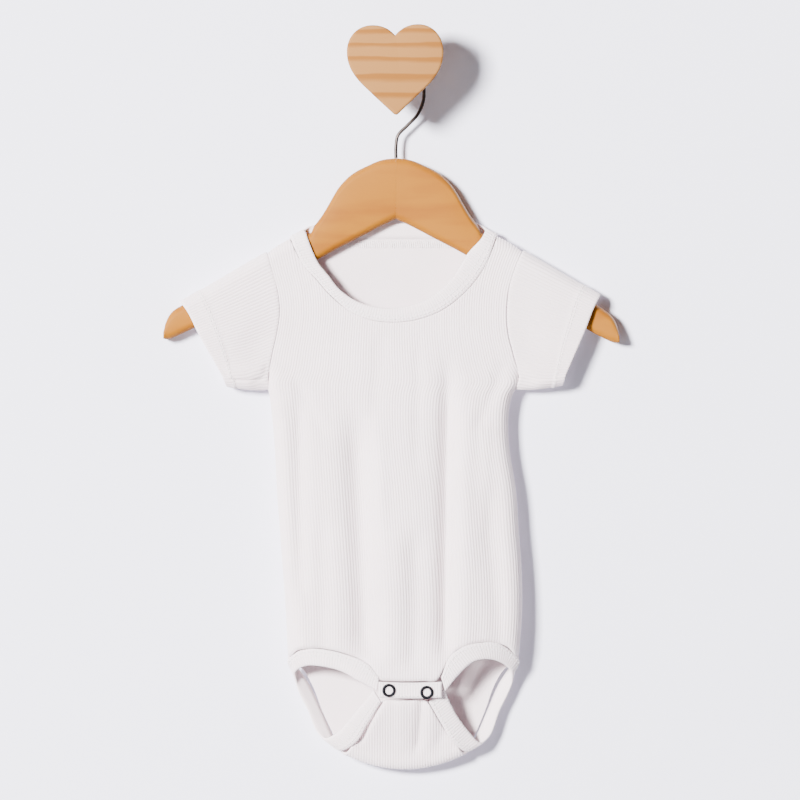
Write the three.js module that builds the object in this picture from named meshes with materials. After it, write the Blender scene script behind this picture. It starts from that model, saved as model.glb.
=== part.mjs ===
// A baby's short-sleeved rib-knit bodysuit on a wooden hanger that hangs from a heart-shaped wall peg.
// Millimetres. +Z is up and the front faces -Y. The origin is the middle of the peg's flat back face.
import * as THREE from 'three';

// Driving dimensions
const WALL = 1.2;
const RIB_HEIGHT = 0.35;
const NECK_LIFT = 0.8;
const BINDING_THICK = 1.8;
const GAP = 0.3;
const RIBS_ACROSS = 72;
const RIBS_ROUND_SLEEVE = 68;
const HANGER_Y = -9;
const HANGER_THICK = 11.6;
const OVER_ARM_HIGH = 7.8;
const SIDE_SEAM_TOP = -222;
const SIDE_SEAM_END = -410;
const SHOULDER_SEAM_Z = -200;
const FLAP_MIDDLE_X = 6;
const FLAP_END_Z = -440.6;
const FOLD_LOW_Z = -489;
const FOLD_RADIUS_Z = 7;
const WIRE_RADIUS = 1.4;
const STEM_RADIUS = 6;
const STEM_LENGTH = 34;
const HEART_THICK = 17;
const HEART_BEVEL = 1.6;

// Cloth: the inner face below the outer line, the top of the armholes, and the ends of the neck seams
const CREST_TO_INSIDE = 1.5;
const ARMHOLE_TOP = -126;
const SHOULDER_GAP = 0.12;
const FRONT_NECK_ENDS = { left: -74.6, right: 71.4 };
const BACK_NECK_ENDS = { left: -73.6, right: 70.4 };

// Fold at the foot: its outline rises by this much at this distance from the middle
const FOLD_RISE = 16;
const FOLD_REACH = 52;
const LEAN_FROM = 20;
const LEAN_TO = 75;

// Flap between the fold and the snaps: depths at two heights, and its rise for each millimetre of cloth
const FLAP = { lowZ: -486, lowDepth: 15.5, highZ: FLAP_END_Z + 4, highDepth: 30, rise: 0.97 };

// Sleeves: lengths of cloth from top to foot, roundings at the underarm and the hem, and depths at the hem
const SLEEVE_EASE = 1.1;
const SLEEVE_BULGE = 1.8;
const SLEEVE_SAG = 1.5;
const SLEEVE_LENGTH = { armhole: 96, hem: 67 };
const SLEEVE_FOOT_TURN = { armhole: 22, hem: 6 };
const HEM_FRONT = { top: 15.7, drop: 3.2 };
const HEM_BACK = { top: 2.3, drop: 1.2 };
const HEM_FROM = 0.7;
const HEM_EXTRA = 0.3;
const SLEEVE_STATIONS = [0, 0.4, 0.76, 1];
const SLEEVE_PLAIN_EVERY = 4;

// Columns kept on a panel's plain inside: every eighth, and every second one near the ends of the neck seams
const PLAIN_EVERY = 8;
const NECK_END_U = 0.78;
const NECK_END_REACH = 0.12;
const BACK_FOOT_SHARES = [1, 0.68, 0.42, 0.28, 0.14];
const TOP_STEPS = 3;
const FOOT_CLEARANCE = 10;

const CLOTH = { color: 0xefe8e9, roughness: 0.9, metalness: 0 };
const WOOD = { color: 0xd9a866, roughness: 0.5, metalness: 0 };
const PINE = { color: 0xd8b384, roughness: 0.65, metalness: 0 };
const STEEL = { color: 0xa8a6a2, roughness: 0.3, metalness: 1 };
const DARK_METAL = { color: 0x2b2b30, roughness: 0.35, metalness: 1 };

// Outer line of the cloth over the hanger, by distance from the middle
const CREST = [
  { x: 40, z: -82 },
  { x: 48, z: -96 },
  { x: 55, z: -108.4 },
  { x: 76, z: -118.8 },
  { x: 90, z: -127.3 },
  { x: 105, z: -136 },
  { x: 120, z: -144.8 },
  { x: 135, z: -153.6 },
  { x: 152, z: -163.6 },
];

// Front outline of the body: armholes above the underarm, side seams below it
const SIDES = [
  { z: -422, left: -72.6, right: 82.8 },
  { z: -407, left: -74.4, right: 84.8 },
  { z: -379, left: -75.7, right: 86.8 },
  { z: -351, left: -77.8, right: 86.5 },
  { z: -323, left: -79.9, right: 84.5 },
  { z: -295, left: -82, right: 82.6 },
  { z: -267, left: -83.4, right: 78.2 },
  { z: -245, left: -85.2, right: 77.2 },
  { z: -228, left: -87.3, right: 80 },
  { z: -217, left: -89.4, right: 86 },
  { z: -200, left: -86.9, right: 82.3 },
  { z: -185, left: -83.6, right: 78.6 },
  { z: -170, left: -81.6, right: 77.7 },
  { z: -155, left: -83.2, right: 79.2 },
  { z: -140, left: -87.4, right: 83.6 },
  { z: -126, left: -91, right: 89.4 },
];

// How far the front and back cloth stand from the wall behind, by height
const DEPTHS = [
  { z: -495, front: 34, drop: 5, back: 9 },
  { z: -440, front: 34, drop: 5, back: 6 },
  { z: -410, front: 33, drop: 5.5, back: 4.6 },
  { z: -350, front: 29.5, drop: 6, back: 3.4 },
  { z: -300, front: 26, drop: 5, back: 2.8 },
  { z: -230, front: 21, drop: 3, back: 2.4 },
  { z: -177, front: 17.6, drop: 1.4, back: 2.3 },
  { z: -135, front: 15.7, drop: 0, back: 2.3 },
  { z: -100, front: 15.7, drop: 0, back: 2.3 },
];

// Large soft folds of the front: x at the top and foot, width, depth inwards, and where they start and end
const FRONT_FOLDS = [
  { top: -34, foot: -25, width: 12, deep: 2.2, high: -250, low: -440 },
  { top: 36, foot: 33, width: 7, deep: 3.4, high: -195, low: -440 },
  { top: -72, foot: -70, width: 8, deep: 1.8, high: -215, low: -350 },
  { top: 66, foot: 76, width: 8, deep: 1.6, high: -290, low: -420 },
  { top: 2, foot: -2, width: 9, deep: -1.4, high: -320, low: -430 },
  { top: 50, foot: 47, width: 8, deep: -1.6, high: -210, low: -420 },
];
const BACK_FOLDS = [
  { top: -30, foot: -22, width: 12, deep: -1.1, high: -240, low: -430 },
  { top: 34, foot: 30, width: 10, deep: -1.2, high: -260, low: -430 },
];

// Neck seam and shoulder line of the front, and the neck seam of the back
const FRONT_TOP = [
  { x: -74.6, z: -119.2 },
  { x: -71.2, z: -126.9 },
  { x: -65.1, z: -137 },
  { x: -56.1, z: -148.1 },
  { x: -46.2, z: -159.3 },
  { x: -35, z: -168.2 },
  { x: -23.8, z: -173.8 },
  { x: -12.6, z: -176.6 },
  { x: -0.7, z: -177.4 },
  { x: 9.8, z: -176.4 },
  { x: 21.3, z: -173.6 },
  { x: 35.2, z: -167.2 },
  { x: 46.8, z: -157.9 },
  { x: 57.3, z: -146.3 },
  { x: 64.3, z: -134.7 },
  { x: 69, z: -124.2 },
  { x: 71.4, z: -117.6 },
];
const BACK_NECK_Z = -119;

// Heights of the points of a column, as shares of the way up to where it turns over the arm
const FRONT_ROWS = [0, 0.24, 0.46, 0.64, 0.71, 0.78, 0.85, 0.925];
const BACK_ROWS = [0, 0.32, 0.62, 0.71, 0.8, 0.9];

// Lower edge of the front, along both leg seams and the snap band
const FRONT_FOOT = [
  { x: -76, z: -408.5 },
  { x: -70, z: -406 },
  { x: -52, z: -405.5 },
  { x: -36.4, z: -408.8 },
  { x: -20.5, z: -415.5 },
  { x: -12, z: -423 },
  { x: -4, z: -427.6 },
  { x: 8, z: -428.2 },
  { x: 20, z: -427.8 },
  { x: 28, z: -425 },
  { x: 34, z: -415.5 },
  { x: 41, z: -407 },
  { x: 46, z: -404.4 },
  { x: 58.8, z: -401 },
  { x: 69.3, z: -400.9 },
  { x: 79, z: -403 },
  { x: 87, z: -408.5 },
];

// Length of the back panel below the side seams, by distance from its middle
const BACK_FOOT = [
  { x: 0, long: 131 },
  { x: 12, long: 130 },
  { x: 16.5, long: 126 },
  { x: 23, long: 112 },
  { x: 30, long: 97 },
  { x: 37, long: 83 },
  { x: 44, long: 68 },
  { x: 51, long: 53 },
  { x: 57.5, long: 38 },
  { x: 63, long: 23 },
  { x: 70, long: 11 },
  { x: 80, long: 3 },
  { x: 92, long: 0.5 },
];

// Neck binding, round the neck: its seam and its free edge, and the share of the way from front to back
const NECK_RING = [
  { seamX: -74, seamZ: -118.2, edgeX: -63.6, edgeZ: -112.4, side: 0.5 },
  { seamX: -73.4, seamZ: -119.6, edgeX: -62.8, edgeZ: -115, side: 0 },
  { seamX: -71.8, seamZ: -124, edgeX: -61, edgeZ: -120.4, side: 0 },
  { seamX: -65.1, seamZ: -137, edgeX: -54.6, edgeZ: -135.2, side: 0 },
  { seamX: -56, seamZ: -147, edgeX: -47.4, edgeZ: -144.4, side: 0 },
  { seamX: -46, seamZ: -158.2, edgeX: -39, edgeZ: -154.8, side: 0 },
  { seamX: -28, seamZ: -172.2, edgeX: -24, edgeZ: -163.9, side: 0 },
  { seamX: -1, seamZ: -177.4, edgeX: -1, edgeZ: -167.3, side: 0 },
  { seamX: 27, seamZ: -171.4, edgeX: 22, edgeZ: -160.8, side: 0 },
  { seamX: 48.5, seamZ: -156.2, edgeX: 38.6, edgeZ: -147, side: 0 },
  { seamX: 62.8, seamZ: -137.4, edgeX: 50.6, edgeZ: -128.5, side: 0 },
  { seamX: 68.4, seamZ: -123, edgeX: 59.4, edgeZ: -119, side: 0 },
  { seamX: 70, seamZ: -118.6, edgeX: 62.6, edgeZ: -113.8, side: 0 },
  { seamX: 70.8, seamZ: -116.8, edgeX: 62.8, edgeZ: -112, side: 0.5 },
  { seamX: 65, seamZ: -117.8, edgeX: 57.5, edgeZ: -108.6, side: 1, edgeDeep: 3.6 },
  { seamX: 40, seamZ: -118.8, edgeX: 37, edgeZ: -107.6, side: 1, edgeDeep: 2.6 },
  { seamX: 0, seamZ: -119, edgeX: 0, edgeZ: -108, side: 1, edgeDeep: 2.6 },
  { seamX: -40, seamZ: -118.8, edgeX: -37, edgeZ: -107.6, side: 1, edgeDeep: 2.6 },
  { seamX: -67, seamZ: -118.2, edgeX: -58.5, edgeZ: -109.4, side: 1, edgeDeep: 3.6 },
];

// Leg bindings, from the front snap band round the leg to the back snap band: seam and free edge
const LEG_LEFT = [
  { seamX: -12.6, seamZ: -423.4, seamY: -33.4, edgeX: -17.4, edgeZ: -433, edgeY: -33.4 },
  { seamX: -20.5, seamZ: -415.8, seamY: -32.6, edgeX: -27, edgeZ: -427.8, edgeY: -32.4 },
  { seamX: -36.4, seamZ: -409.2, seamY: -31.2, edgeX: -38.5, edgeZ: -421.4, edgeY: -30.4 },
  { seamX: -52, seamZ: -405.9, seamY: -29, edgeX: -52, edgeZ: -418, edgeY: -27.6 },
  { seamX: -65.5, seamZ: -406, seamY: -25, edgeX: -62.5, edgeZ: -417.6, edgeY: -23 },
  { seamX: -75, seamZ: -413.8, seamY: -15.4, edgeX: -69.6, edgeZ: -421.6, edgeY: -17.5 },
  { seamX: -68.4, seamZ: -418.6, seamY: -6.6, edgeX: -69.4, edgeZ: -429.5, edgeY: -12.5 },
  { seamX: -59.7, seamZ: -430.8, seamY: -5.5, edgeX: -67, edgeZ: -437.6, edgeY: -11.5 },
  { seamX: -52.1, seamZ: -447.6, seamY: -6.5, edgeX: -61.5, edgeZ: -448.4, edgeY: -11.8 },
  { seamX: -44.8, seamZ: -464.8, seamY: -8.2, edgeX: -55, edgeZ: -463.6, edgeY: -12.8 },
  { seamX: -39, seamZ: -476.4, seamY: -13.2, edgeX: -49.5, edgeZ: -467.8, edgeY: -15.6 },
  { seamX: -27.6, seamZ: -471, seamY: -20.8, edgeX: -40, edgeZ: -463.4, edgeY: -20 },
  { seamX: -19.5, seamZ: -458, seamY: -25.2, edgeX: -28.6, edgeZ: -450.4, edgeY: -24.6 },
  { seamX: -11.4, seamZ: -443.6, seamY: -29.2, edgeX: -20.6, edgeZ: -438, edgeY: -28.2 },
];
const LEG_RIGHT = [
  { seamX: 32.6, seamZ: -423.8, seamY: -33.4, edgeX: 37.4, edgeZ: -433.6, edgeY: -33.4 },
  { seamX: 37.4, seamZ: -411.6, seamY: -33, edgeX: 45, edgeZ: -422.6, edgeY: -32.6 },
  { seamX: 46, seamZ: -404.8, seamY: -32, edgeX: 54, edgeZ: -414.9, edgeY: -31.4 },
  { seamX: 58.8, seamZ: -401.4, seamY: -30.4, edgeX: 62.5, edgeZ: -413, edgeY: -28.8 },
  { seamX: 72, seamZ: -402, seamY: -26.6, edgeX: 71.4, edgeZ: -414.6, edgeY: -24.4 },
  { seamX: 85.6, seamZ: -413.8, seamY: -15.4, edgeX: 79.4, edgeZ: -420.6, edgeY: -17.6 },
  { seamX: 79, seamZ: -418.4, seamY: -6.6, edgeX: 80.4, edgeZ: -429.6, edgeY: -12.5 },
  { seamX: 69.9, seamZ: -430.6, seamY: -5.5, edgeX: 77.4, edgeZ: -438.2, edgeY: -11.5 },
  { seamX: 63, seamZ: -447.3, seamY: -6.5, edgeX: 72, edgeZ: -449, edgeY: -11.8 },
  { seamX: 56, seamZ: -464.6, seamY: -8.2, edgeX: 65.4, edgeZ: -466.4, edgeY: -12.8 },
  { seamX: 49.5, seamZ: -477, seamY: -13.2, edgeX: 58.6, edgeZ: -470.8, edgeY: -16 },
  { seamX: 39.6, seamZ: -471, seamY: -20.8, edgeX: 49.4, edgeZ: -462, edgeY: -20.4 },
  { seamX: 31.5, seamZ: -458, seamY: -25.2, edgeX: 41.4, edgeZ: -450.6, edgeY: -24.8 },
  { seamX: 23.4, seamZ: -443.6, seamY: -29.2, edgeX: 33.4, edgeZ: -438.6, edgeY: -28.2 },
];

// Sleeves: hem line from its top to its foot, as seen from the front, and the depth of the cloth there
const SLEEVES = {
  left: { sign: -1, hemTopX: -150.4, hemTopZ: -164.4, hemFootX: -118.6, hemFootZ: -220.4 },
  right: { sign: 1, hemTopX: 142.6, hemTopZ: -160, hemFootX: 116.6, hemFootZ: -219.6 },
};

// Upper and lower edge of the hanger, by distance from its middle
const HANGER = [
  { x: 0, top: -62.3, foot: -105 },
  { x: 10, top: -63.6, foot: -109.6 },
  { x: 19, top: -67.2, foot: -114.3 },
  { x: 31, top: -73.7, foot: -120.6 },
  { x: 40, top: -82.8, foot: -125.2 },
  { x: 47.6, top: -95.6, foot: -129.4 },
  { x: 52, top: -102.8, foot: -131.8 },
  { x: 57.7, top: -110.2, foot: -135 },
  { x: 61, top: -113.6, foot: -136.9 },
  { x: 66, top: -117.6, foot: -139.7 },
  { x: 71, top: -120.7, foot: -142.4 },
  { x: 76, top: -122.2, foot: -145.2 },
  { x: 90, top: -129.6, foot: -153 },
  { x: 120, top: -147, foot: -169.6 },
  { x: 140, top: -159, foot: -180.6 },
  { x: 152, top: -166.4, foot: -186.2 },
  { x: 157.6, top: -170.8, foot: -188.6 },
  { x: 161.2, top: -177.2, foot: -189.2 },
  { x: 163, top: -184.4, foot: -188.6 },
];
const HANGER_STATIONS = [
  0.15, 10, 19, 25, 31, 36, 40, 44, 47.6, 52, 57.7, 61, 66, 71, 76, 90, 105, 120, 140, 152, 157.6, 161.2, 163,
];
// The right half is a little shorter and lower at its tip
const HANGER_SIDES = {
  left: { sign: -1, shorter: 0, lower: 0 },
  right: { sign: 1, shorter: 0.04, lower: 2.6 },
};
const HANGER_BEND_X = 60;
const HANGER_TIP_X = 163;
const HANGER_ROUND = 5.5;
const ARM_CLEARANCE = 3;
const CORNER_TURNS = [0, 30, 60, 90];

// Snaps of the crotch
const SNAPS = { left: { x: -5, z: -434.8 }, right: { x: 21.5, z: -436.2 } };
const SNAP_RADIUS = 4.75;
const SNAP_HOLE = 2.7;
const RING_Y = -36;
const LOCK_Y = -32;
const LOCK_RADIUS = 4.2;
const LOCK_HIGH = 1.6;
const BASE_Y = -28.5;
const BASE_HIGH = 1;
const SNAP_SEGMENTS = 16;

// Snap bands, from corner to corner
const FRONT_BAND = { low: [-12.3, -35.7, -439.8], high: [32, -33.9, -428.8] };
const BACK_BAND = { low: [-10.6, -31.7, -440], high: [29.4, -29.8, -429.4] };

function smooth(a, b, value) {
  const t = Math.min(1, Math.max(0, (value - a) / (b - a)));
  return t * t * (3 - 2 * t);
}

function mix(a, b, t) {
  return a + (b - a) * t;
}

// Smooth curve through the rows of a table, as a function from one column to another
function curve(rows, from, to) {
  const sorted = [...rows].sort((a, b) => a[from] - b[from]);
  const xs = sorted.map((row) => row[from]);
  const ys = sorted.map((row) => row[to]);
  const last = xs.length - 1;
  const slopes = xs.map((x, i) => {
    const before = Math.max(0, i - 1);
    const after = Math.min(last, i + 1);
    return (ys[after] - ys[before]) / (xs[after] - xs[before]);
  });
  return (value) => {
    if (value <= xs[0]) return ys[0];
    if (value >= xs[last]) return ys[last];
    let i = 0;
    while (value > xs[i + 1]) i += 1;
    const h = xs[i + 1] - xs[i];
    const t = (value - xs[i]) / h;
    const t2 = t * t;
    const t3 = t2 * t;
    return (2 * t3 - 3 * t2 + 1) * ys[i] + (t3 - 2 * t2 + t) * h * slopes[i]
      + (3 * t2 - 2 * t3) * ys[i + 1] + (t3 - t2) * h * slopes[i + 1];
  };
}

const crestOuter = curve(CREST, 'x', 'z');
const leftSide = curve(SIDES, 'z', 'left');
const rightSide = curve(SIDES, 'z', 'right');
const frontDepth = curve(DEPTHS, 'z', 'front');
const frontDrop = curve(DEPTHS, 'z', 'drop');
const backDepth = curve(DEPTHS, 'z', 'back');
const frontTop = curve(FRONT_TOP, 'x', 'z');
const frontFoot = curve(FRONT_FOOT, 'x', 'z');
const backFoot = curve(BACK_FOOT, 'x', 'long');

// Inner face of the cloth at the top of the arm
function crest(x) {
  return crestOuter(Math.abs(x)) - CREST_TO_INSIDE;
}

function foldDepth(folds, x, z) {
  let sum = 0;
  for (const fold of folds) {
    const along = (fold.high - z) / (fold.high - fold.low);
    const middle = mix(fold.top, fold.foot, along);
    const share = smooth(0, 0.25, along) * (1 - smooth(0.9, 1.15, along));
    sum += fold.deep * share * Math.exp(-(((x - middle) / fold.width) ** 2));
  }
  return sum;
}

function middleAndHalf(z) {
  const left = leftSide(z);
  const right = rightSide(z);
  return { middle: (left + right) / 2, half: (right - left) / 2 };
}

function frontLine(x, z) {
  const { middle, half } = middleAndHalf(z);
  return frontDepth(z) - frontDrop(z) * ((x - middle) / half) ** 2 - foldDepth(FRONT_FOLDS, x, z);
}

function backLine(x, z) {
  return backDepth(z) + foldDepth(BACK_FOLDS, x, z);
}

// Depth of the cloth where it goes over the hanger's arm
function overArm(depth, x, z, lift = 0) {
  const start = crest(x) + lift - OVER_ARM_HIGH;
  if (z <= start) return depth;
  const up = Math.min(1, (z - start) / OVER_ARM_HIGH);
  const share = Math.sqrt(1 - up * up);
  return -HANGER_Y + (depth + HANGER_Y) * share;
}

// A point of a body panel's inner face: u runs from the left edge to the right one
function panelPoint(face, u, z) {
  const { middle, half } = middleAndHalf(Math.max(z, SIDE_SEAM_END));
  const line = (x) => (face > 0 ? frontLine(x, z) : backLine(x, z));
  const edgeX = middle + Math.sign(u) * half;
  const radius = (frontLine(edgeX, z) - backLine(edgeX, z)) / 2;
  const turn = (Math.PI / 2) * smooth(SHOULDER_SEAM_Z, SIDE_SEAM_TOP, z);
  const flat = half - radius * Math.sin(turn);
  const along = Math.abs(u) * (flat + radius * turn - GAP);
  const beyond = Math.max(0, along - flat) / radius;
  const across = along <= flat ? along : flat + radius * Math.sin(beyond);
  const x = middle + Math.sign(u) * across;
  const depth = line(x) - face * radius * (1 - Math.cos(beyond));
  return new THREE.Vector3(x, -overArm(depth, x, z), z);
}

// Heights of a column that starts at low and ends over the arm, or at a neck seam under it
function climb(low, high, x, shares) {
  const start = Math.min(high - 2 * TOP_STEPS, crest(x) - OVER_ARM_HIGH);
  const rows = [];
  for (const share of shares) rows.push(mix(low, start, share));
  const reach = Math.min(1, Math.max(0, (high - crest(x) + OVER_ARM_HIGH) / OVER_ARM_HIGH));
  const angle = Math.asin(reach);
  for (let i = 0; i <= TOP_STEPS; i += 1) {
    const t = i / TOP_STEPS;
    const round = crest(x) - OVER_ARM_HIGH * (1 - Math.sin(angle * t));
    rows.push(mix(mix(start, high, t), round, reach));
  }
  return rows;
}

function columnX(u, z) {
  const { middle, half } = middleAndHalf(z);
  return middle + u * half;
}

// Top of a column: where it meets the neck seam or the shoulder seam
function topOf(u, neck) {
  let x = columnX(u, ARMHOLE_TOP);
  for (let i = 0; i < 20; i += 1) x = (x + columnX(u, Math.min(ARMHOLE_TOP, neck(x)))) / 2;
  const shoulder = crest(x);
  return { x, high: Math.min(neck(x), shoulder - SHOULDER_GAP) };
}

function frontNeck(x) {
  return x < FRONT_NECK_ENDS.left || x > FRONT_NECK_ENDS.right ? 0 : frontTop(x);
}

function backNeck(x) {
  return x < BACK_NECK_ENDS.left || x > BACK_NECK_ENDS.right ? 0 : BACK_NECK_Z;
}

// Rows of the front panel, from the leg seams to the neck and shoulder seams
function frontColumn(u) {
  const { x, high } = topOf(u, frontNeck);
  const foot = panelPoint(1, u, SIDE_SEAM_END).x;
  const low = frontFoot(foot);
  return climb(low, high, x, FRONT_ROWS).map((z) => (shift) => panelPoint(1, u + shift.u, z + shift.v));
}

function flapDepth(z) {
  return mix(FLAP.lowDepth, FLAP.highDepth, smooth(FLAP.lowZ, FLAP.highZ, z));
}

function foldTopZ(fromMiddle) {
  return FOLD_LOW_Z + FOLD_RADIUS_Z + FOLD_RISE * (fromMiddle / FOLD_REACH) ** 2;
}

// A point of the back panel below the side seams: down, round the fold at the foot and up the flap
function lowerBack(u, down) {
  const { middle, half } = middleAndHalf(SIDE_SEAM_END);
  const lean = smooth(LEAN_FROM, LEAN_TO, down);
  const edge = panelPoint(-1, u, SIDE_SEAM_END);
  const fromMiddle = edge.x - middle;
  const x = mix(middle, FLAP_MIDDLE_X, lean) + fromMiddle;
  const foldTop = foldTopZ(fromMiddle);
  const before = SIDE_SEAM_END - foldTop;
  const deepBack = -panelPoint(-1, u, Math.max(SIDE_SEAM_END - down, foldTop)).y;
  if (down <= before) return new THREE.Vector3(x, -deepBack, SIDE_SEAM_END - down);
  const flapAt = flapDepth(foldTop);
  const halfDeep = (flapAt - deepBack) / 2;
  const turnLength = Math.PI * Math.sqrt((halfDeep ** 2 + FOLD_RADIUS_Z ** 2) / 2);
  if (down <= before + turnLength) {
    const angle = (Math.PI * (down - before)) / turnLength;
    const y = -(deepBack + halfDeep * (1 - Math.cos(angle)));
    return new THREE.Vector3(x, y, foldTop - FOLD_RADIUS_Z * Math.sin(angle));
  }
  const up = foldTop + (down - before - turnLength) * FLAP.rise;
  return new THREE.Vector3(x, -flapDepth(up), up);
}

// Rows of the back panel, from the flap's end round the fold and up to the neck and shoulder seams
function backColumn(u) {
  const { x, high } = topOf(u, backNeck);
  const { middle } = middleAndHalf(SIDE_SEAM_END);
  const fromMiddle = panelPoint(-1, u, SIDE_SEAM_END).x - middle;
  const end = backFoot(Math.abs(fromMiddle));
  const foldStart = SIDE_SEAM_END - foldTopZ(fromMiddle);
  const split = Math.max(0, Math.min(foldStart, end - FOOT_CLEARANCE));
  const rows = BACK_FOOT_SHARES.map((share) => {
    const down = mix(split, end, share);
    return (shift) => lowerBack(u + shift.u, down - shift.v);
  });
  rows.push((shift) => lowerBack(u + shift.u, Math.max(0, split - shift.v)));
  const upper = climb(SIDE_SEAM_END, high, x, BACK_ROWS);
  for (const z of upper) rows.push((shift) => panelPoint(-1, u + shift.u, z + shift.v));
  return rows;
}

// Sleeve: v runs from the armhole to the hem, and p from the top of the arm to the underarm
function sleeveLine(sleeve, v, p) {
  const side = sleeve.sign < 0 ? leftSide : rightSide;
  const armTop = crest(side(ARMHOLE_TOP));
  const armZ = mix(armTop, SIDE_SEAM_TOP - 1, p);
  const armX = side(Math.min(ARMHOLE_TOP, armZ)) + sleeve.sign * (GAP + SLEEVE_EASE);
  const hemX = mix(sleeve.hemTopX, sleeve.hemFootX, p);
  const hemZ = mix(sleeve.hemTopZ, sleeve.hemFootZ, p);
  const x = mix(armX, hemX, v);
  const sag = SLEEVE_SAG * Math.sin(Math.PI * v) * p;
  const straight = mix(armZ, hemZ, v) - sag;
  const lift = crest(x) - mix(armTop, sleeve.hemTopZ, v);
  return { x, z: straight + lift * (1 - smooth(0, 0.4, p)) };
}

function sleevePoint(sleeve, v, p, face) {
  const at = sleeveLine(sleeve, v, p);
  const side = sleeve.sign < 0 ? leftSide : rightSide;
  const bodyZ = mix(crest(side(ARMHOLE_TOP)), SIDE_SEAM_TOP - 1, p);
  const bodyX = side(Math.min(ARMHOLE_TOP, bodyZ));
  const bulge = SLEEVE_BULGE * Math.sin(Math.PI * p) * smooth(0.1, 0.7, v);
  const front = mix(frontLine(bodyX, bodyZ), HEM_FRONT.top + HEM_FRONT.drop * p, v) + bulge;
  const back = mix(backLine(bodyX, bodyZ), HEM_BACK.top + HEM_BACK.drop * p, v);
  const length = mix(SLEEVE_LENGTH.armhole, SLEEVE_LENGTH.hem, v);
  const topTurn = OVER_ARM_HIGH / length;
  const footTurn = mix(SLEEVE_FOOT_TURN.armhole, SLEEVE_FOOT_TURN.hem, smooth(0, 0.5, v)) / length;
  const own = face > 0 ? front : back;
  let depth = own;
  if (p < topTurn) {
    const share = Math.sqrt(Math.max(0, 1 - (1 - p / topTurn) ** 2));
    depth = mix(-HANGER_Y, own, share);
  } else if (p > 1 - footTurn) {
    const share = Math.sqrt(Math.max(0, 1 - ((p - 1 + footTurn) / footTurn) ** 2));
    depth = mix((front + back) / 2, own, share);
  }
  return new THREE.Vector3(at.x, -depth, at.z);
}

// Even steps round a sleeve at one station
function sleeveLoop(sleeve, v, count) {
  const dense = [];
  const parts = 120;
  for (let i = 0; i < parts; i += 1) {
    const p = (1 - Math.cos((Math.PI * i) / parts)) / 2;
    dense.push(sleevePoint(sleeve, v, p, 1));
  }
  for (let i = parts; i > 0; i -= 1) {
    const p = (1 - Math.cos((Math.PI * i) / parts)) / 2;
    dense.push(sleevePoint(sleeve, v, p, -1));
  }
  const run = [0];
  for (let i = 1; i <= dense.length; i += 1) {
    run.push(run[i - 1] + dense[i % dense.length].distanceTo(dense[i - 1]));
  }
  const total = run[run.length - 1];
  const loop = [];
  let at = 0;
  for (let i = 0; i < count; i += 1) {
    const target = (total * i) / count;
    while (run[at + 1] < target) at += 1;
    const t = (target - run[at]) / (run[at + 1] - run[at]);
    loop.push(dense[at].clone().lerp(dense[(at + 1) % dense.length], t));
  }
  return loop;
}

// Closed mesh from points and triangles
function solid(name, points, triangles, finish) {
  const geometry = new THREE.BufferGeometry();
  const flat = new Float32Array(points.length * 3);
  points.forEach((point, i) => point.toArray(flat, i * 3));
  geometry.setAttribute('position', new THREE.BufferAttribute(flat, 3));
  geometry.setIndex(triangles);
  geometry.computeVertexNormals();
  return piece(name, geometry, finish);
}

function piece(name, geometry, finish) {
  const mesh = new THREE.Mesh(geometry, new THREE.MeshStandardMaterial(finish));
  mesh.name = name;
  return mesh;
}

// A wall: outer holds columns of points, and inner those of the plain inside, at the numbers in kept
function wallSolid(name, outer, inner, kept, closed, flip, finish) {
  const columns = outer.length;
  const rows = outer[0].length;
  const points = [...outer.flat(), ...inner.flat()];
  const base = columns * rows;
  const triangles = [];
  const face = (a, b, c) => (flip ? triangles.push(a, c, b) : triangles.push(a, b, c));
  const quad = (a, b, c, d) => {
    face(a, b, c);
    face(a, c, d);
  };
  const out = (i, j) => (i % columns) * rows + j;
  const innerColumns = inner.length;
  const inn = (i, j) => base + (i % innerColumns) * rows + j;
  const marks = closed ? [...kept, columns] : kept;
  for (let i = 0; i < marks[marks.length - 1]; i += 1) {
    for (let j = 0; j < rows - 1; j += 1) quad(out(i, j), out(i + 1, j), out(i + 1, j + 1), out(i, j + 1));
  }
  for (let i = 0; i < marks.length - 1; i += 1) {
    for (let j = 0; j < rows - 1; j += 1) {
      quad(inn(i, j), inn(i, j + 1), inn(i + 1, j + 1), inn(i + 1, j));
    }
    for (let at = marks[i]; at < marks[i + 1]; at += 1) {
      face(inn(i, 0), out(at + 1, 0), out(at, 0));
      face(inn(i, rows - 1), out(at, rows - 1), out(at + 1, rows - 1));
    }
    const next = marks[i + 1];
    face(inn(i, 0), inn(i + 1, 0), out(next, 0));
    face(inn(i, rows - 1), out(next, rows - 1), inn(i + 1, rows - 1));
  }
  if (!closed) {
    for (let j = 0; j < rows - 1; j += 1) {
      quad(out(0, j), out(0, j + 1), inn(0, j + 1), inn(0, j));
      const last = innerColumns - 1;
      quad(out(columns - 1, j), inn(last, j), inn(last, j + 1), out(columns - 1, j + 1));
    }
  }
  return solid(name, points, triangles, finish);
}

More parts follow.
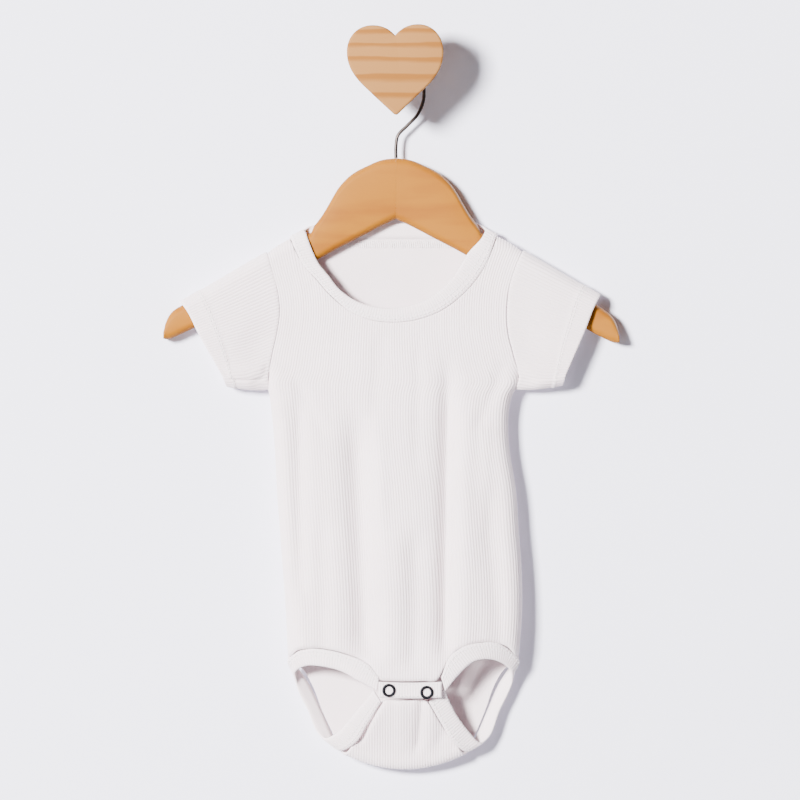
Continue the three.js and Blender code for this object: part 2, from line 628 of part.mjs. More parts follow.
// A body panel with a raised rib on every other column
function panel(name, column, outward, ribs) {
  const count = ribs * 2;
  const step = 0.004;
  const outer = [];
  const inner = [];
  const kept = [];
  for (let i = 0; i <= count; i += 1) {
    const u = -1 + (2 * i) / count;
    const rows = column(u);
    const raised = WALL + (i % 2 === 1 ? RIB_HEIGHT : 0);
    const lifted = [];
    const plain = [];
    for (const row of rows) {
      const at = row({ u: 0, v: 0 });
      const side = u > 0 ? -step : step;
      const across = row({ u: side, v: 0 }).sub(at).multiplyScalar(Math.sign(side));
      const along = row({ u: 0, v: -0.5 }).sub(at).negate();
      const normal = across.cross(along).multiplyScalar(outward).normalize();
      plain.push(at);
      lifted.push(at.clone().addScaledVector(normal, raised));
    }
    outer.push(lifted);
    const nearNeckEnd = Math.abs(Math.abs(u) - NECK_END_U) < NECK_END_REACH;
    if (i % PLAIN_EVERY === 0 || (nearNeckEnd && i % 2 === 0)) {
      kept.push(i);
      inner.push(plain);
    }
  }
  return wallSolid(name, outer, inner, kept, false, outward < 0, CLOTH);
}

function sleeve(name, shape) {
  const count = RIBS_ROUND_SLEEVE * 2;
  const kept = [];
  const loops = SLEEVE_STATIONS.map((v) => sleeveLoop(shape, v, count));
  const outer = [];
  const inner = [];
  for (let i = 0; i < count; i += 1) {
    const lifted = [];
    const plain = [];
    loops.forEach((loop, j) => {
      const before = loop[(i + count - 2) % count];
      const after = loop[(i + 2) % count];
      const near = loops[Math.max(0, j - 1)][i];
      const far = loops[Math.min(loops.length - 1, j + 1)][i];
      const around = after.clone().sub(before);
      const along = far.clone().sub(near);
      const normal = around.cross(along).normalize().multiplyScalar(shape.sign);
      const hem = SLEEVE_STATIONS[j] > HEM_FROM ? HEM_EXTRA : 0;
      const raised = WALL + hem + (i % 2 === 1 ? RIB_HEIGHT : 0);
      plain.push(loop[i]);
      lifted.push(loop[i].clone().addScaledVector(normal, raised));
    });
    outer.push(lifted);
    if (i % SLEEVE_PLAIN_EVERY === 0) {
      kept.push(i);
      inner.push(plain);
    }
  }
  return wallSolid(name, outer, inner, kept, true, shape.sign < 0, CLOTH);
}

// A band between a seam line and a free edge, thick on its outer side
function band(name, rows, stations, closed, outward, gap) {
  const seamLine = new THREE.CatmullRomCurve3(rows.map((row) => row.seam), closed, 'centripetal');
  const edgeLine = new THREE.CatmullRomCurve3(rows.map((row) => row.edge), closed, 'centripetal');
  const count = closed ? stations : stations + 1;
  const sections = [];
  for (let i = 0; i < count; i += 1) {
    const t = i / stations;
    const seam = seamLine.getPoint(t);
    const edge = edgeLine.getPoint(t);
    const ahead = closed ? (t + 0.002) % 1 : Math.min(1, t + 0.002);
    const behind = closed ? (t + 0.998) % 1 : Math.max(0, t - 0.002);
    const along = seamLine.getPoint(ahead).sub(seamLine.getPoint(behind));
    const across = edge.clone().sub(seam).normalize();
    const normal = along.cross(across).normalize().multiplyScalar(outward);
    const start = seam.clone().addScaledVector(across, gap);
    const place = (share, height) => start.clone().lerp(edge, share).addScaledVector(normal, height);
    sections.push([
      place(0, 0),
      place(0.5, 0),
      place(1, 0),
      place(1, BINDING_THICK * 0.8),
      place(0.5, BINDING_THICK),
      place(0, BINDING_THICK * 0.8),
    ]);
  }
  return loft(name, sections, closed, outward > 0, CLOTH);
}

// A solid through rings of points
function loft(name, sections, closed, flip, finish) {
  const size = sections[0].length;
  const triangles = [];
  const face = (a, b, c) => (flip ? triangles.push(a, c, b) : triangles.push(a, b, c));
  const spans = closed ? sections.length : sections.length - 1;
  for (let i = 0; i < spans; i += 1) {
    const next = ((i + 1) % sections.length) * size;
    for (let k = 0; k < size; k += 1) {
      const l = (k + 1) % size;
      face(i * size + k, next + k, next + l);
      face(i * size + k, next + l, i * size + l);
    }
  }
  if (!closed) {
    const last = (sections.length - 1) * size;
    for (let k = 1; k < size - 1; k += 1) {
      face(0, k, k + 1);
      face(last, last + k + 1, last + k);
    }
  }
  return solid(name, sections.flat(), triangles, finish);
}

function neckRows() {
  return NECK_RING.map((row) => {
    const end = (x, z) => {
      const top = crest(x);
      if (row.side === 0.5) return new THREE.Vector3(x, HANGER_Y, top + NECK_LIFT);
      const depth = row.side === 0 ? frontLine(x, z) : backLine(x, z);
      return new THREE.Vector3(x, -overArm(depth, x, z, NECK_LIFT), z);
    };
    const edge = end(row.edgeX, row.edgeZ);
    if (row.edgeDeep) edge.y = -row.edgeDeep;
    return { seam: end(row.seamX, row.seamZ), edge };
  });
}

function legRows(table) {
  return table.map((row) => ({
    seam: new THREE.Vector3(row.seamX, row.seamY, row.seamZ),
    edge: new THREE.Vector3(row.edgeX, row.edgeY, row.edgeZ),
  }));
}

function box(name, low, high, finish) {
  const geometry = new THREE.BoxGeometry(high[0] - low[0], high[1] - low[1], high[2] - low[2]);
  const mesh = piece(name, geometry, finish);
  mesh.position.set((low[0] + high[0]) / 2, (low[1] + high[1]) / 2, (low[2] + high[2]) / 2);
  return mesh;
}

// A turned piece whose axis runs front to back: rings of radius and y, closed on themselves
function turned(name, x, z, profile, segments, finish) {
  const points = profile.map(([radius, y]) => new THREE.Vector2(radius, y)).reverse();
  points.push(points[0].clone());
  const mesh = piece(name, new THREE.LatheGeometry(points, segments), finish);
  mesh.position.set(x, 0, z);
  return mesh;
}

function snap(side, at) {
  const ring = turned(`snap_ring_${side}`, at.x, at.z, [
    [SNAP_HOLE, RING_Y],
    [SNAP_RADIUS, RING_Y],
    [SNAP_RADIUS, RING_Y - 0.8],
    [4, RING_Y - 1.3],
    [3.3, RING_Y - 1.3],
    [SNAP_HOLE, RING_Y - 0.8],
  ], SNAP_SEGMENTS, DARK_METAL);
  const lock = turned(`snap_lock_${side}`, at.x, at.z, [
    [0, LOCK_Y],
    [LOCK_RADIUS, LOCK_Y],
    [LOCK_RADIUS, LOCK_Y - LOCK_HIGH],
    [0, LOCK_Y - LOCK_HIGH],
  ], SNAP_SEGMENTS, DARK_METAL);
  const base = turned(`snap_base_${side}`, at.x, at.z, [
    [SNAP_HOLE, BASE_Y],
    [SNAP_RADIUS, BASE_Y],
    [SNAP_RADIUS, BASE_Y - BASE_HIGH],
    [SNAP_HOLE, BASE_Y - BASE_HIGH],
  ], SNAP_SEGMENTS, DARK_METAL);
  return [ring, lock, base];
}

// Half of the hanger, through rounded upright sections from the middle to the tip
function hangerArm(side, shape) {
  const top = curve(HANGER, 'x', 'top');
  const foot = curve(HANGER, 'x', 'foot');
  const sections = HANGER_STATIONS.map((x) => {
    const reach = smooth(HANGER_BEND_X, HANGER_TIP_X, x);
    const at = shape.sign * x * (1 - shape.shorter * reach);
    const underCloth = x >= HANGER_BEND_X ? crestOuter(Math.abs(at)) - ARM_CLEARANCE : 0;
    const high = Math.min(top(x) - shape.lower * reach, underCloth);
    const low = foot(x) - shape.lower * reach;
    const round = Math.min(HANGER_ROUND, (high - low) / 2.1, HANGER_THICK / 2.1);
    const flat = HANGER_THICK / 2 - round;
    const corners = [
      { y: flat, z: high - round, from: 0 },
      { y: -flat, z: high - round, from: 90 },
      { y: -flat, z: low + round, from: 180 },
      { y: flat, z: low + round, from: 270 },
    ];
    const section = [];
    for (const corner of corners) {
      for (const turn of CORNER_TURNS) {
        const angle = ((corner.from + turn) * Math.PI) / 180;
        const y = HANGER_Y + corner.y + round * Math.cos(angle);
        section.push(new THREE.Vector3(at, y, corner.z + round * Math.sin(angle)));
      }
    }
    return section;
  });
  return loft(`hanger_arm_${side}`, sections, false, shape.sign > 0, WOOD);
}

function hook() {
  const bend = new THREE.CatmullRomCurve3([
    new THREE.Vector3(0, 0, -61.9),
    new THREE.Vector3(0, 0, -54),
    new THREE.Vector3(1.4, 0, -46.4),
    new THREE.Vector3(8, 0, -39.4),
    new THREE.Vector3(14.9, 0, -32),
    new THREE.Vector3(19, 0, -22.6),
    new THREE.Vector3(19.6, 0, -14),
    new THREE.Vector3(18.2, 0, -5.4),
    new THREE.Vector3(13.6, 0, 2.3),
    new THREE.Vector3(6.8, 0, 6.8),
    new THREE.Vector3(0, 0, 8),
    new THREE.Vector3(-8, 0, 6.2),
    new THREE.Vector3(-14.6, 0, 1.6),
    new THREE.Vector3(-18.6, 0, -6.2),
  ]);
  const section = new THREE.Shape().absarc(0, 0, WIRE_RADIUS, 0, Math.PI * 2);
  const geometry = new THREE.ExtrudeGeometry(section, { steps: 30, curveSegments: 4, extrudePath: bend });
  geometry.translate(0, HANGER_Y, 0);
  return piece('hanger_hook', geometry, STEEL);
}

function pegStem() {
  const geometry = new THREE.CylinderGeometry(STEM_RADIUS, STEM_RADIUS, STEM_LENGTH, 28);
  geometry.translate(0, -STEM_LENGTH / 2, 0);
  return piece('peg_stem', geometry, PINE);
}

function pegHeart() {
  const shape = new THREE.Shape();
  shape.moveTo(-0.6, 23.6);
  shape.bezierCurveTo(3.4, 28.4, 9, 31, 15.4, 31);
  shape.bezierCurveTo(26, 31, 33.2, 22.6, 33.2, 11.6);
  shape.bezierCurveTo(33.2, 2, 28.6, -5.4, 22, -12);
  shape.lineTo(1.6, -31.6);
  shape.quadraticCurveTo(0, -33, -1.6, -31.6);
  shape.lineTo(-22.6, -12);
  shape.bezierCurveTo(-29.4, -5.4, -34.4, 2, -34.4, 11.6);
  shape.bezierCurveTo(-34.4, 22.6, -27, 31, -16.4, 31);
  shape.bezierCurveTo(-10, 31, -4.6, 28.4, -0.6, 23.6);
  const geometry = new THREE.ExtrudeGeometry(shape, {
    depth: HEART_THICK - 2 * HEART_BEVEL,
    bevelThickness: HEART_BEVEL,
    bevelSize: HEART_BEVEL,
    bevelOffset: -HEART_BEVEL,
    bevelSegments: 2,
    curveSegments: 6,
  });
  geometry.rotateX(Math.PI / 2);
  geometry.translate(0, -STEM_LENGTH - GAP - HEART_BEVEL, 0);
  return piece('peg_heart', geometry, PINE);
}

const group = new THREE.Group();
group.add(panel('front_panel', frontColumn, 1, RIBS_ACROSS));
group.add(panel('back_panel', backColumn, -1, RIBS_ACROSS));
group.add(sleeve('sleeve_left', SLEEVES.left));
group.add(sleeve('sleeve_right', SLEEVES.right));
group.add(band('neck_binding', neckRows(), 66, true, 1, 0.6));
group.add(band('leg_binding_left', legRows(LEG_LEFT), 44, false, 1, GAP));
group.add(band('leg_binding_right', legRows(LEG_RIGHT), 44, false, -1, GAP));
group.add(box('front_snap_band', FRONT_BAND.low, FRONT_BAND.high, CLOTH));
group.add(box('back_snap_band', BACK_BAND.low, BACK_BAND.high, CLOTH));
for (const side of Object.keys(SNAPS)) group.add(...snap(side, SNAPS[side]));
for (const side of Object.keys(HANGER_SIDES)) group.add(hangerArm(side, HANGER_SIDES[side]));
group.add(hook());
group.add(pegStem());
group.add(pegHeart());

export default group;
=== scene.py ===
import math

import bmesh
import bpy
import numpy as np
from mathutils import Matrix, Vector


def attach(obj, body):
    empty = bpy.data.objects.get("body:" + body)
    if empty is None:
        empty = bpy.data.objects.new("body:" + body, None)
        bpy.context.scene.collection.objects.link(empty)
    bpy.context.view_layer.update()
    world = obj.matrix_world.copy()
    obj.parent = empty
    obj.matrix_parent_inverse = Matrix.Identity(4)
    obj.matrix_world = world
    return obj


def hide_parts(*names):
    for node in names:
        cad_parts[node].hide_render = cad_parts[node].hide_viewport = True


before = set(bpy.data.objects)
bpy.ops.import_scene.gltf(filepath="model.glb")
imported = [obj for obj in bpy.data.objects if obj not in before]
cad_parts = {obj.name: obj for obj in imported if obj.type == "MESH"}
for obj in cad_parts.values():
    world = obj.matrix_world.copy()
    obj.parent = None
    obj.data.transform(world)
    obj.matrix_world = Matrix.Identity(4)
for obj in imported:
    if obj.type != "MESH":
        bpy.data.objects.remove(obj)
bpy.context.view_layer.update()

# Sizes in millimetres, the same as the solids have. The front faces -Y.
MM = 0.001
WALL = 1.2
RIB = 0.42
NECK_LIFT = 0.8
GAP = 0.3
RIBS_ACROSS = 92
RIBS_ROUND_SLEEVE = 84
RIB_PITCH = 1.9
POINTS_A_RIB = 6
HANGER_Y = -9.0
HANGER_THICK = 11.6
HANGER_TIP_X = 163.0
HANGER_ROUND_FROM = 150.0
OVER_ARM_HIGH = 7.8
SIDE_SEAM_TOP = -222.0
SIDE_SEAM_END = -410.0
SHOULDER_SEAM_Z = -200.0
FLAP_MIDDLE_X = 6.0
FLAP_END_Z = -440.6
FOLD_LOW_Z = -489.0
FOLD_RADIUS_Z = 7.0
STEM_LENGTH = 34
STEM_RADIUS = 6
HEART_BEVEL = 1.6
HEART_BACK_Y = -34.3
HEART_FRONT_Y = -51.3
HOOK_RADIUS = 1.2
SNAP_RING_Y = -36.0

# Sewing thread: how far it stands out of a binding and of a sleeve, and the rows of straight runs
BINDING_STITCH_LIFT = 1.95
SLEEVE_STITCH_LIFT = WALL + RIB + 0.35
HEM_STITCH_STATIONS = (29, 31)
OVERLOCK = dict(start=-62, end=60, step=1.5, lean=0.9, y=-2.75, top=-119.6, foot=-125.8)
SNAP_BAND_STITCHES = dict(start=-11, end=31, y=-36.1, rows=(-430.2, -438.4))

CREST = dict(x=[40, 48, 55, 76, 90, 105, 120, 135, 152],
             z=[-82, -96, -108.4, -118.8, -127.3, -136, -144.8, -153.6, -163.6])
SIDES = dict(
    z=[-422, -407, -379, -351, -323, -295, -267, -245, -228, -217, -200, -185, -170, -155, -140, -126],
    left=[-72.6, -74.4, -75.7, -77.8, -79.9, -82, -83.4, -85.2, -87.3, -89.4, -86.9, -83.6, -81.6, -83.2,
          -87.4, -91],
    right=[82.8, 84.8, 86.8, 86.5, 84.5, 82.6, 78.2, 77.2, 80, 86, 82.3, 78.6, 77.7, 79.2, 83.6, 89.4])
DEPTHS = dict(
    z=[-495, -440, -410, -350, -300, -230, -177, -135, -100],
    front=[34, 34, 33, 29.5, 26, 21, 17.6, 15.7, 15.7],
    drop=[5, 5, 5.5, 6, 5, 3, 1.4, 0, 0],
    back=[9, 6, 4.6, 3.4, 2.8, 2.4, 2.3, 2.3, 2.3])

# Soft folds: x at the top and foot, width, depth inwards, and the heights of the ends
FRONT_FOLDS = [
    dict(top=-28.5, foot=-20, width=10.5, deep=8.4, high=-225, low=-425),
    dict(top=36.5, foot=34, width=6, deep=6.2, high=-190, low=-425),
    dict(top=34, foot=32, width=14, deep=2.2, high=-205, low=-425),
    dict(top=-68, foot=-67, width=6, deep=3.2, high=-212, low=-380),
    dict(top=62, foot=76, width=8, deep=2.6, high=-285, low=-425),
    dict(top=0, foot=-3, width=9, deep=-2.2, high=-310, low=-425),
    dict(top=14, foot=12, width=7, deep=1.8, high=-315, low=-425),
    dict(top=50, foot=47, width=8, deep=-2.0, high=-205, low=-425),
    dict(top=-12, foot=-10, width=6, deep=-1.2, high=-230, low=-425),
    dict(top=-76, foot=-48, width=5, deep=1.0, high=-205, low=-262),
    dict(top=78, foot=56, width=5, deep=1.2, high=-200, low=-256),
    dict(top=-10, foot=-16, width=6, deep=0.9, high=-180, low=-250),
    dict(top=16, foot=14, width=5, deep=0.9, high=-182, low=-290),
    dict(top=-52, foot=-50, width=6, deep=1.2, high=-300, low=-425),
    dict(top=64, foot=60, width=5, deep=-0.9, high=-230, low=-330),
]
BACK_FOLDS = [
    dict(top=-30, foot=-22, width=12, deep=-1.1, high=-240, low=-430),
    dict(top=34, foot=30, width=10, deep=-1.2, high=-260, low=-430),
    dict(top=70, foot=56, width=6, deep=1.0, high=-205, low=-270),
    dict(top=-70, foot=-54, width=6, deep=1.0, high=-205, low=-265),
    dict(top=4, foot=2, width=7, deep=1.2, high=-300, low=-420),
    dict(top=-52, foot=-48, width=7, deep=1.0, high=-270, low=-400),
    dict(top=58, foot=52, width=7, deep=1.0, high=-300, low=-410),
]
FRONT_TOP = dict(
    x=[-74.1, -71.0, -65.1, -56.1, -46.2, -35, -23.8, -12.6, -0.7, 9.8, 21.3, 35.2, 46.8, 57.3, 64.2, 68.6,
       70.9],
    z=[-118.9, -126.9, -136.9, -147.3, -158.5, -167.9, -173.7, -176.6, -177.4, -176.4, -173.6, -167.2, -157.9,
       -146.3, -134.7, -124.2, -117.6])
BACK_NECK_Z = -119.0
FRONT_FOOT = dict(
    x=[-76, -73, -69, -62, -52, -36.4, -20.5, -12, -4, 8, 20, 28.5, 34, 41, 46, 58.8, 69.3, 77, 81, 85, 87],
    z=[-414.2, -410.6, -407, -405.7, -405.5, -408.8, -415.9, -426.8, -428.2, -428.4, -428.2, -427.6,
       -418.4, -408, -404.8, -401.2, -401.6, -404.2, -407.6, -412.2, -414.2])
BACK_FOOT = dict(
    x=[0, 12, 16.5, 23, 30, 37, 44, 51, 57.5, 63, 70, 80, 92],
    long=[131, 130, 126, 112, 97, 83, 68, 53, 38, 23, 11, 3, 0.5])

# Creases of the flap: x at the top, lean, height of the top, width and depth
FLAP_CREASES = [
    (-17, 0.557, -453, 2.4, 1.6), (-10.5, 0.518, -444, 2.2, 0.9), (18.2, 0.0965, -441.7, 3.6, 2.2),
    (4, 0.0, -450, 5.0, -0.8), (33, 0.2, -465, 4.5, 1.2), (25, 0.1, -452, 4.0, -0.8),
]

# Neck binding: seam x and z, free edge x and z, side 0 front, 0.5 over the arm, 1 back, and edge depth
NECK_RING = [
    (-74, -118.2, -63.6, -112.4, 0.5, 0), (-73.4, -119.6, -62.8, -115, 0, 0),
    (-71.8, -124, -61, -120.4, 0, 0), (-65.1, -137, -54.6, -135.2, 0, 0),
    (-56, -147, -47.4, -144.4, 0, 0), (-46, -158.2, -39, -154.8, 0, 0),
    (-28, -172.2, -24, -163.9, 0, 0), (-1, -177.4, -1, -167.3, 0, 0),
    (27, -171.4, 22, -160.8, 0, 0), (48.5, -156.2, 38.6, -147, 0, 0),
    (62.8, -137.4, 50.6, -128.5, 0, 0), (68.4, -123, 59.4, -119, 0, 0),
    (70, -118.6, 62.6, -113.8, 0, 0), (70.8, -116.8, 62.8, -112, 0.5, 0),
    (65, -117.8, 57.5, -108.6, 1, 3.6), (40, -118.8, 37, -107.6, 1, 2.6),
    (0, -119, 0, -108, 1, 2.6), (-40, -118.8, -37, -107.6, 1, 2.6),
    (-67, -118.2, -58.5, -109.4, 1, 3.6),
]

# Leg bindings: seam and free edge, from the front snap band round to the back one
LEG_LEFT = [
    ((-11.8, -33.3, -425.6), (-13.2, -33.3, -435)), ((-20.5, -32.6, -415.8), (-27, -32.4, -427.8)),
    ((-36.4, -31.2, -409.2), (-38.5, -30.4, -421.4)), ((-52, -29, -405.9), (-52, -27.6, -418)),
    ((-65.5, -25, -406), (-62.5, -23, -417.6)), ((-75, -15.4, -413.8), (-69.6, -17.5, -421.6)),
    ((-69, -6.6, -418.6), (-69.4, -12.5, -429.5)), ((-60.5, -5.4, -431), (-67, -11.5, -437.6)),
    ((-52.4, -6.4, -448), (-61.5, -11.8, -448.4)), ((-44.9, -8.2, -465), (-55, -12.8, -463.6)),
    ((-39, -13.2, -476.4), (-49.5, -15.6, -467.8)), ((-27.6, -20.8, -471), (-40, -20, -463.4)),
    ((-19.5, -25.2, -458), (-28.6, -24.6, -450.4)), ((-10.2, -30.0, -443), (-15.4, -29.8, -434.4)),
]
LEG_RIGHT = [
    ((31.6, -33.3, -425.6), (34.4, -33.3, -435.4)), ((37.4, -33, -411.6), (45, -32.6, -422.6)),
    ((46, -32, -404.8), (54, -31.4, -414.9)), ((58.8, -30.4, -401.4), (62.5, -28.8, -413)),
    ((72, -26.6, -402), (71.4, -24.4, -414.6)), ((85.6, -15.4, -413.8), (79.4, -17.6, -420.6)),
    ((80, -6.6, -418.4), (80.4, -12.5, -429.6)), ((71.6, -5.4, -431), (77.4, -11.5, -438.2)),
    ((64.2, -6.4, -448), (72, -11.8, -449)), ((56.9, -8.2, -465), (65.4, -12.8, -466.4)),
    ((49.5, -13.2, -477), (58.6, -16, -470.8)), ((39.6, -20.8, -471), (49.4, -20.4, -462)),
    ((31.5, -25.2, -458), (41.4, -24.8, -450.6)), ((22.8, -30.0, -443), (33.4, -29.8, -434)),
]
SLEEVES = dict(
    left=dict(sign=-1, top=(-150.4, -164.4), foot=(-118.6, -220.4), roll=1.0),
    right=dict(sign=1, top=(142.6, -160), foot=(116.6, -219.6), roll=0.15))
# Late wood on the peg: middle and half height of each band, as a share of 70 mm
PINE_BANDS = [(0.277, 0.04), (0.445, 0.046), (0.634, 0.034), (0.775, 0.032), (0.915, 0.026)]
HANGER = dict(
    x=[0, 10, 19, 31, 40, 47.6, 52, 57.7, 61, 66, 71, 76, 90, 120, 140, 152, 157.6, 161.2, 163],
    top=[-62.3, -63.6, -67.2, -73.7, -82.8, -95.6, -102.8, -110.2, -113.6, -117.6, -120.7, -122.2, -129.6,
         -147, -159, -166.4, -170.8, -177.2, -184.4],
    foot=[-105, -109.6, -114.3, -120.6, -125.2, -129.4, -131.8, -135, -136.9, -139.7, -142.4, -145.2, -153,
          -169.6, -180.6, -186.2, -188.6, -189.2, -188.6])
SNAPS = dict(left=(-5, -434.8), right=(21.5, -436.2))
FRONT_BAND = ((-12.3, -35.7, -439.8), (32, -33.9, -428.8))
BACK_BAND = ((-10.6, -31.7, -440), (29.4, -29.8, -429.4))


def smooth(a, b, value):
    t = np.clip((np.asarray(value, float) - a) / (b - a), 0, 1)
    return t * t * (3 - 2 * t)


def mix(a, b, t):
    return a + (b - a) * t


def curve(table, start, end):
    """A smooth curve through a table, as a function from one column to another."""
    order = np.argsort(table[start])
    xs = np.asarray(table[start], float)[order]
    ys = np.asarray(table[end], float)[order]
    before = np.maximum(0, np.arange(len(xs)) - 1)
    after = np.minimum(len(xs) - 1, np.arange(len(xs)) + 1)
    slopes = (ys[after] - ys[before]) / (xs[after] - xs[before])

    def at(value):
        v = np.clip(np.asarray(value, float), xs[0], xs[-1])
        i = np.clip(np.searchsorted(xs, v, side="right") - 1, 0, len(xs) - 2)
        h = xs[i + 1] - xs[i]
        t = (v - xs[i]) / h
        return ((2 * t**3 - 3 * t**2 + 1) * ys[i] + (t**3 - 2 * t**2 + t) * h * slopes[i]
                + (3 * t**2 - 2 * t**3) * ys[i + 1] + (t**3 - t**2) * h * slopes[i + 1])

    return at


crest_outer = curve(CREST, "x", "z")
left_side = curve(SIDES, "z", "left")
right_side = curve(SIDES, "z", "right")
front_depth = curve(DEPTHS, "z", "front")
front_drop = curve(DEPTHS, "z", "drop")
back_depth = curve(DEPTHS, "z", "back")
front_top = curve(FRONT_TOP, "x", "z")
front_foot = curve(FRONT_FOOT, "x", "z")
back_foot = curve(BACK_FOOT, "x", "long")


def crest(x):
    return crest_outer(np.abs(x)) - 1.5


def fold_depth(folds, x, z):
    total = 0
    for fold in folds:
        along = (fold["high"] - z) / (fold["high"] - fold["low"])
        middle = mix(fold["top"], fold["foot"], along)
        share = smooth(0, 0.25, along) * (1 - smooth(0.84, 1.0, along))
        total = total + fold["deep"] * share * np.exp(-(((x - middle) / fold["width"]) ** 2))
    return total


def middle_and_half(z):
    left, right = left_side(z), right_side(z)
    return (left + right) / 2, (right - left) / 2


def front_line(x, z):
    middle, half = middle_and_half(z)
    return front_depth(z) - front_drop(z) * ((x - middle) / half) ** 2 - fold_depth(FRONT_FOLDS, x, z)


def back_line(x, z):
    return back_depth(z) + fold_depth(BACK_FOLDS, x, z)


def over_arm(depth, x, z, lift=0.0):
    """Depth of the cloth where it goes over the hanger's arm."""
    up = np.clip((z - crest(x) - lift + OVER_ARM_HIGH) / OVER_ARM_HIGH, 0, 1)
    return -HANGER_Y + (depth + HANGER_Y) * np.sqrt(1 - up * up)


def panel_point(face, u, z):
    """A point of a body panel's inner face: u runs from the left edge to the right one."""
    middle, half = middle_and_half(np.maximum(z, SIDE_SEAM_END))
    line = front_line if face > 0 else back_line
    edge = middle + np.sign(u) * half
    radius = (front_line(edge, z) - back_line(edge, z)) / 2
    turn = (math.pi / 2) * smooth(SHOULDER_SEAM_Z, SIDE_SEAM_TOP, z)
    flat = half - radius * np.sin(turn)
    along = np.abs(u) * (flat + radius * turn - GAP)
    beyond = np.maximum(0, along - flat) / radius
    across = np.where(along <= flat, along, flat + radius * np.sin(beyond))
    x = middle + np.sign(u) * across
    depth = line(x, z) - face * radius * (1 - np.cos(beyond))
    return np.stack([x, -over_arm(depth, x, z), z], -1)


def climb(low, high, x, rows, top_rows):
    """Heights of the columns, from low, over the arm or up to a neck seam under it."""
    top = crest(x)
    start = np.minimum(high - 6, top - OVER_ARM_HIGH)
    reach = np.clip((high - top + OVER_ARM_HIGH) / OVER_ARM_HIGH, 0, 1)
    angle = np.arcsin(reach)
    parts = [mix(low, start, i / rows) for i in range(rows)]
    for i in range(top_rows + 1):
        t = i / top_rows
        around = top - OVER_ARM_HIGH * (1 - np.sin(angle * t))
        parts.append(mix(mix(start, high, t), around, reach))
    return np.stack(parts, 1)


def top_of(u, neck):
    middle, half = middle_and_half(np.full_like(u, -126.0))
    x = middle + u * half
    for _ in range(20):
        middle, half = middle_and_half(np.minimum(-126, neck(x)))
        x = (x + middle + u * half) / 2
    return x, np.minimum(neck(x), crest(x) - 0.12)


def front_neck(x):
    return np.where((x < -74.1) | (x > 70.9), 0, front_top(x))


def back_neck(x):
    return np.where((x < -73.6) | (x > 70.4), 0, BACK_NECK_Z)


def front_grid(u, rows, top_rows):
    x, high = top_of(u, front_neck)
    foot = panel_point(1, u, np.full_like(u, SIDE_SEAM_END))[:, 0]
    z = climb(front_foot(foot), high, x, rows, top_rows)
    return panel_point(1, np.repeat(u[:, None], z.shape[1], 1), z)


def flap_depth(z):
    return mix(15.5, 30.0, smooth(-486, FLAP_END_Z + 4, z))


def lower_back(u, down):
    """The back panel below the side seams: down, round the fold at the foot and up the flap."""
    middle, _ = middle_and_half(SIDE_SEAM_END)
    edge = panel_point(-1, u, np.full_like(u, SIDE_SEAM_END))
    off = edge[..., 0] - middle
    x = mix(middle, FLAP_MIDDLE_X, smooth(20, 75, down)) + off
    fold_top = FOLD_LOW_Z + 16 * (off / 52) ** 2 + FOLD_RADIUS_Z
    before = SIDE_SEAM_END - fold_top
    deep = -panel_point(-1, u, np.maximum(SIDE_SEAM_END - down, fold_top))[..., 1]
    half_deep = (flap_depth(fold_top) - deep) / 2
    turn_length = math.pi * np.sqrt((half_deep**2 + FOLD_RADIUS_Z**2) / 2)
    angle = math.pi * np.clip((down - before) / turn_length, 0, 1)
    y_fold = -(deep + half_deep * (1 - np.cos(angle)))
    z_fold = fold_top - FOLD_RADIUS_Z * np.sin(angle)
    up = fold_top + np.maximum(0, down - before - turn_length) * 0.97
    y = np.where(down <= before, -deep, np.where(down <= before + turn_length, y_fold, -flap_depth(up)))
    z = np.where(down <= before, SIDE_SEAM_END - down, np.where(down <= before + turn_length, z_fold, up))
    crease = 0
    for at, lean, from_z, width, deep in FLAP_CREASES:
        crease = crease + deep * np.exp(-(((x - at - (z - from_z) * lean) / width) ** 2))
    y = y + crease * smooth(0, 12, down - before - turn_length)
    return np.stack([x, y, z], -1)


def back_grid(u, rows, top_rows, low_rows, flat_rows):
    x, high = top_of(u, back_neck)
    middle, _ = middle_and_half(SIDE_SEAM_END)
    off = panel_point(-1, u, np.full_like(u, SIDE_SEAM_END))[:, 0] - middle
    end = back_foot(np.abs(off))
    fold_start = SIDE_SEAM_END - FOLD_LOW_Z - FOLD_RADIUS_Z - 16 * (off / 52) ** 2
    split = np.maximum(0, np.minimum(fold_start, end - 10))
    down = [mix(end, split, i / low_rows) for i in range(low_rows)]
    down += [split * (1 - i / flat_rows) for i in range(flat_rows)]
    down = np.stack(down, 1)
    lower = lower_back(np.repeat(u[:, None], down.shape[1], 1), down)
    z = climb(np.full_like(u, SIDE_SEAM_END), high, x, rows, top_rows)
    upper = panel_point(-1, np.repeat(u[:, None], z.shape[1], 1), z)
    return np.concatenate([lower, upper], 1)


